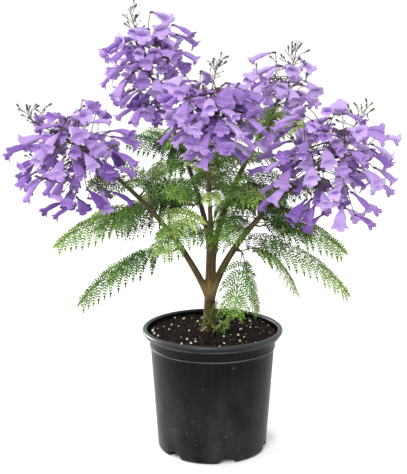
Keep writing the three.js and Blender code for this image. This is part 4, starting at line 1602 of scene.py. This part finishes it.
def grow_shoot(shoot, seed):
    plan = SHOOTS[shoot]
    draw = seeded(seed)
    stem = stem_of(shoot)
    leaflets = Plantings()
    fronds = []
    for number in range(plan["fronds"]):
        turn = plan["fan"] * (number - (plan["fronds"] - 1) / 2)
        rise = math.radians(plan["rise"] + lerp(-FROND_WANDER, FROND_WANDER, draw()))
        reach = plan["reach"] * MM * lerp(FROND_SHORTEST, 1, draw())
        root = stem.at(lerp(*SHOOT_FRONDS, number / plan["fronds"]))
        droop = plan["droop"] * (FOOT_DROOP if shoot == "trunk_foot" else 1)
        fronds.append((root, plan["faces"] + turn, rise, reach, droop))
    filled = fronds[1:] if plan["fronds"] > 2 and shoot != "trunk_foot" else []
    for _, heading, rise, reach, droop in filled:
        between = heading - plan["fan"] * lerp(0.35, 0.65, draw())
        steeper = rise + lerp(0.1, 0.5, draw())
        shorter = reach * lerp(0.55, 0.8, draw())
        fronds.append((stem.at(FRESH_FROND), between, steeper, shorter, droop))
    for number in range(YOUNG_FRONDS.get(shoot, 0)):
        heading = plan["faces"] + lerp(-70, 30, draw())
        rise = math.radians(lerp(50, 76, draw()))
        reach = plan["reach"] * MM * lerp(0.6, 0.9, draw())
        fronds.append((stem.at(FRESH_FROND), heading, rise, reach, plan["droop"]))
    for root, heading, rise, reach, droop in fronds:
        breadth = BREADTH.get(shoot, 1)
        hang = lerp(0.5, 0.75, draw()) * math.cos(rise) / breadth**2
        shade = YOUTH.get(shoot, 0.4) + lerp(-0.6, 0.9, draw())
        frond(leaflets, root, math.radians(heading), rise, reach, droop, hang, shade, draw, breadth)
    return leaflets


def grow_sprouts(name, seed):
    """Short fronds along the outer part of a bough, which close the crown between the shoots."""
    draw = seeded(seed)
    limb = limbs[name]
    leaflets = Plantings()
    for number in range(SPROUTS[name]):
        share = lerp(*SPROUT_SHARES, (number + 0.5) / SPROUTS[name])
        heading = number * GOLDEN + seed
        rise = math.radians(lerp(0, 45, draw()))
        root = limb.path.at(share) + aim(heading, 0) * limb.radius_at(share) * 0.5
        hang = lerp(0.3, 0.7, draw())
        reach = lerp(*SPROUT_REACH, draw()) * MM
        shade = lerp(*SPROUT_SHADES, draw())
        frond(leaflets, root, heading, rise, reach, SPROUT_DROOP, hang, shade, draw)
    return leaflets


def grow_foot_sprig(leaflets, seed):
    """More small pale fronds, which stand up along the foot of the trunk beside the shoot's own."""
    draw = seeded(seed)
    limb = limbs["trunk"]
    for number in range(FOOT_SPROUTS):
        heading = math.radians(lerp(*FOOT_HEADINGS, (number + 0.5) / FOOT_SPROUTS))
        share = lerp(*FOOT_SHARES, draw())
        root = limb.path.at(share) + aim(heading, 0) * limb.radius_at(share) * 0.9
        rise = math.radians(lerp(*FOOT_RISES, draw()))
        reach = lerp(*FOOT_REACH, draw()) * MM
        shade = lerp(*FOOT_SHADES, draw())
        frond(leaflets, root, heading, rise, reach, FOOT_SPRIG_DROOP, FOOT_SPRIG_HANG, shade, draw)


shoot_leaflets = {shoot: grow_shoot(shoot, seed) for seed, shoot in enumerate(SHOOTS, 1)}
grow_foot_sprig(shoot_leaflets["trunk_foot"], FOOT_SEED)
sprout_leaflets = {name: grow_sprouts(name, seed) for seed, name in enumerate(PANICLES, SPROUT_SEED)}
leaf_groups = (*shoot_leaflets.values(), *sprout_leaflets.values())
print(sum(len(leaflets.rows) for leaflets in leaf_groups), "leaflets")

# %% [markdown]
# One leaflet is two quads that meet in a fold along its midrib, with its own pointed outline. Geometry
# Nodes set many thousands of them along the side ribs in a moment. Tints run from deep green to
# yellow-green, and each frond grows paler towards its tip.

# %% Leaflets
PATCH_SHADE = 0.72


def leaflet_form(name, half_width, widest):
    """A folded blade along +Z of length 1, its upper side towards +X."""
    fold = 0.05
    points = [(0, 0, 0), (0, 0, 1)]
    for away in (-1, 1):
        points.append((fold, away * half_width, widest))
        points.append((fold * 0.8, away * half_width * 0.68, lerp(widest, 1, 0.55)))
    return new_object(name, points, faces=[(0, 1, 3, 2), (0, 4, 5, 1)])


def leaf_finish(name, tone):
    material, tree, shader = new_finish(name, Roughness=0.5, Specular_IOR_Level=0.16)
    patches = cloud(tree, place_of(tree), 12 * MM, detail=3)
    stops = ((0.32, darkened(tone, PATCH_SHADE)), (0.62, tone))
    connect(tree, shader, Base_Color=ramp(tree, patches, *stops))
    return material


leaflet_forms = forms_of(
    "leaflets", leaflet_form("leaflet_a", 0.19, 0.34), leaflet_form("leaflet_b", 0.14, 0.22)
)
prototypes.append(leaflet_forms)
leaf_tones = (
    colour(24, 50, 9),
    colour(54, 90, 25),
    colour(92, 128, 44),
    colour(132, 160, 76),
    colour(164, 188, 106),
)
leaf_tints = [leaf_finish(f"leaf_{number}", tone) for number, tone in enumerate(leaf_tones)]
leaflet_tree = planting_tree("leaflets", leaflet_forms, leaf_tints)
for shoot, leaflets in shoot_leaflets.items():
    piece = make_plain(leaflets.new_object(f"leaves_{shoot}"), leaflet_tree, Growth=1.0)
    keep(piece, "leaf", f"foliage_{shoot}")
for name, leaflets in sprout_leaflets.items():
    piece = make_plain(leaflets.new_object(f"leaves_sprouts_{name}"), leaflet_tree, Growth=1.0)
    keep(piece, "leaf")
rib_material = speckled_finish("leaf_rib", colour(50, 66, 26), colour(90, 104, 46), 0.6, 4 * MM)
rib_piece = make_plain(ribs.new_object("leaf_ribs"), wire_tree("ribs", 4), Finish=rib_material)
keep(rib_piece, "leaf")

# %% [markdown]
# A pale stick slants up from the mix beside the foot of the trunk, as it does in the photograph. The
# prototype shapes have done their work and are removed, so that only finished pieces are left.

# %% Stick, and clearing away
stick = Wires()
stick.add(Path(mm(-21, -14, 187), mm(-15, -15, 195), mm(-9, -14, 199)), 1.2 * MM, 0.8 * MM, 6)
stick_piece = stick.new_object("stick")
stick_material = speckled_finish("stick", colour(150, 132, 104), colour(206, 192, 164), 0.8, 2 * MM)
make_plain(stick_piece, wire_tree("stick", 8), Finish=stick_material)
keep(stick_piece, "soil")
for forms in prototypes:
    for piece in list(forms.objects):
        bpy.data.objects.remove(piece)
    bpy.data.collections.remove(forms)

# %% [markdown]
# The photograph is cut out on white, and its light is soft and comes from all round. A white world, a pale
# floor and two large soft lamps give the same: one above and in front, and one at the left, a little behind,
# for the sheen on the pot's left flank.

# %% Studio
FLOOR_SIZE = 400
WORLD_STRENGTH = 1.06
MIDDLE = (0, 0, 0.35)


def soft_lamp(name, place, target, size, power):
    lamp = bpy.data.lights.new(name, "AREA")
    lamp.shape = "DISK"
    lamp.size = size
    lamp.energy = power
    piece = bpy.data.objects.new(name, lamp)
    piece.location = place
    piece.rotation_euler = (Vector(target) - Vector(place)).to_track_quat("-Z", "Y").to_euler()
    bpy.context.scene.collection.objects.link(piece)


def floor_finish():
    material, tree, shader = new_finish("pale_floor", Roughness=0.9, Specular_IOR_Level=0.1)
    faint = cloud(tree, place_of(tree), 0.4)
    connect(tree, shader, Base_Color=ramp(tree, faint, (0.3, grey(0.95)), (0.7, grey(0.98))))
    return material


corners = [(x * FLOOR_SIZE, y * FLOOR_SIZE, 0) for x, y in ((-1, -1), (1, -1), (1, 1), (-1, 1))]
floor = new_object("floor", corners, faces=[(0, 1, 2, 3)])
floor.data.materials.append(floor_finish())
world = bpy.data.worlds.new("studio")
world.use_nodes = True
world.node_tree.nodes["Background"].inputs["Color"].default_value = (1, 1, 1, 1)
world.node_tree.nodes["Background"].inputs["Strength"].default_value = WORLD_STRENGTH
bpy.context.scene.world = world
soft_lamp("lamp_front", (-0.8, -3.1, 2.9), MIDDLE, 1.6, 105)
soft_lamp("lamp_left", (-1.9, 1.1, 0.4), (0, 0, 0.1), 1.3, 84)
bpy.context.scene.view_settings.view_transform = "Standard"
bpy.context.scene.view_settings.look = "None"
print("the studio has", len(bpy.data.lights), "lamps")
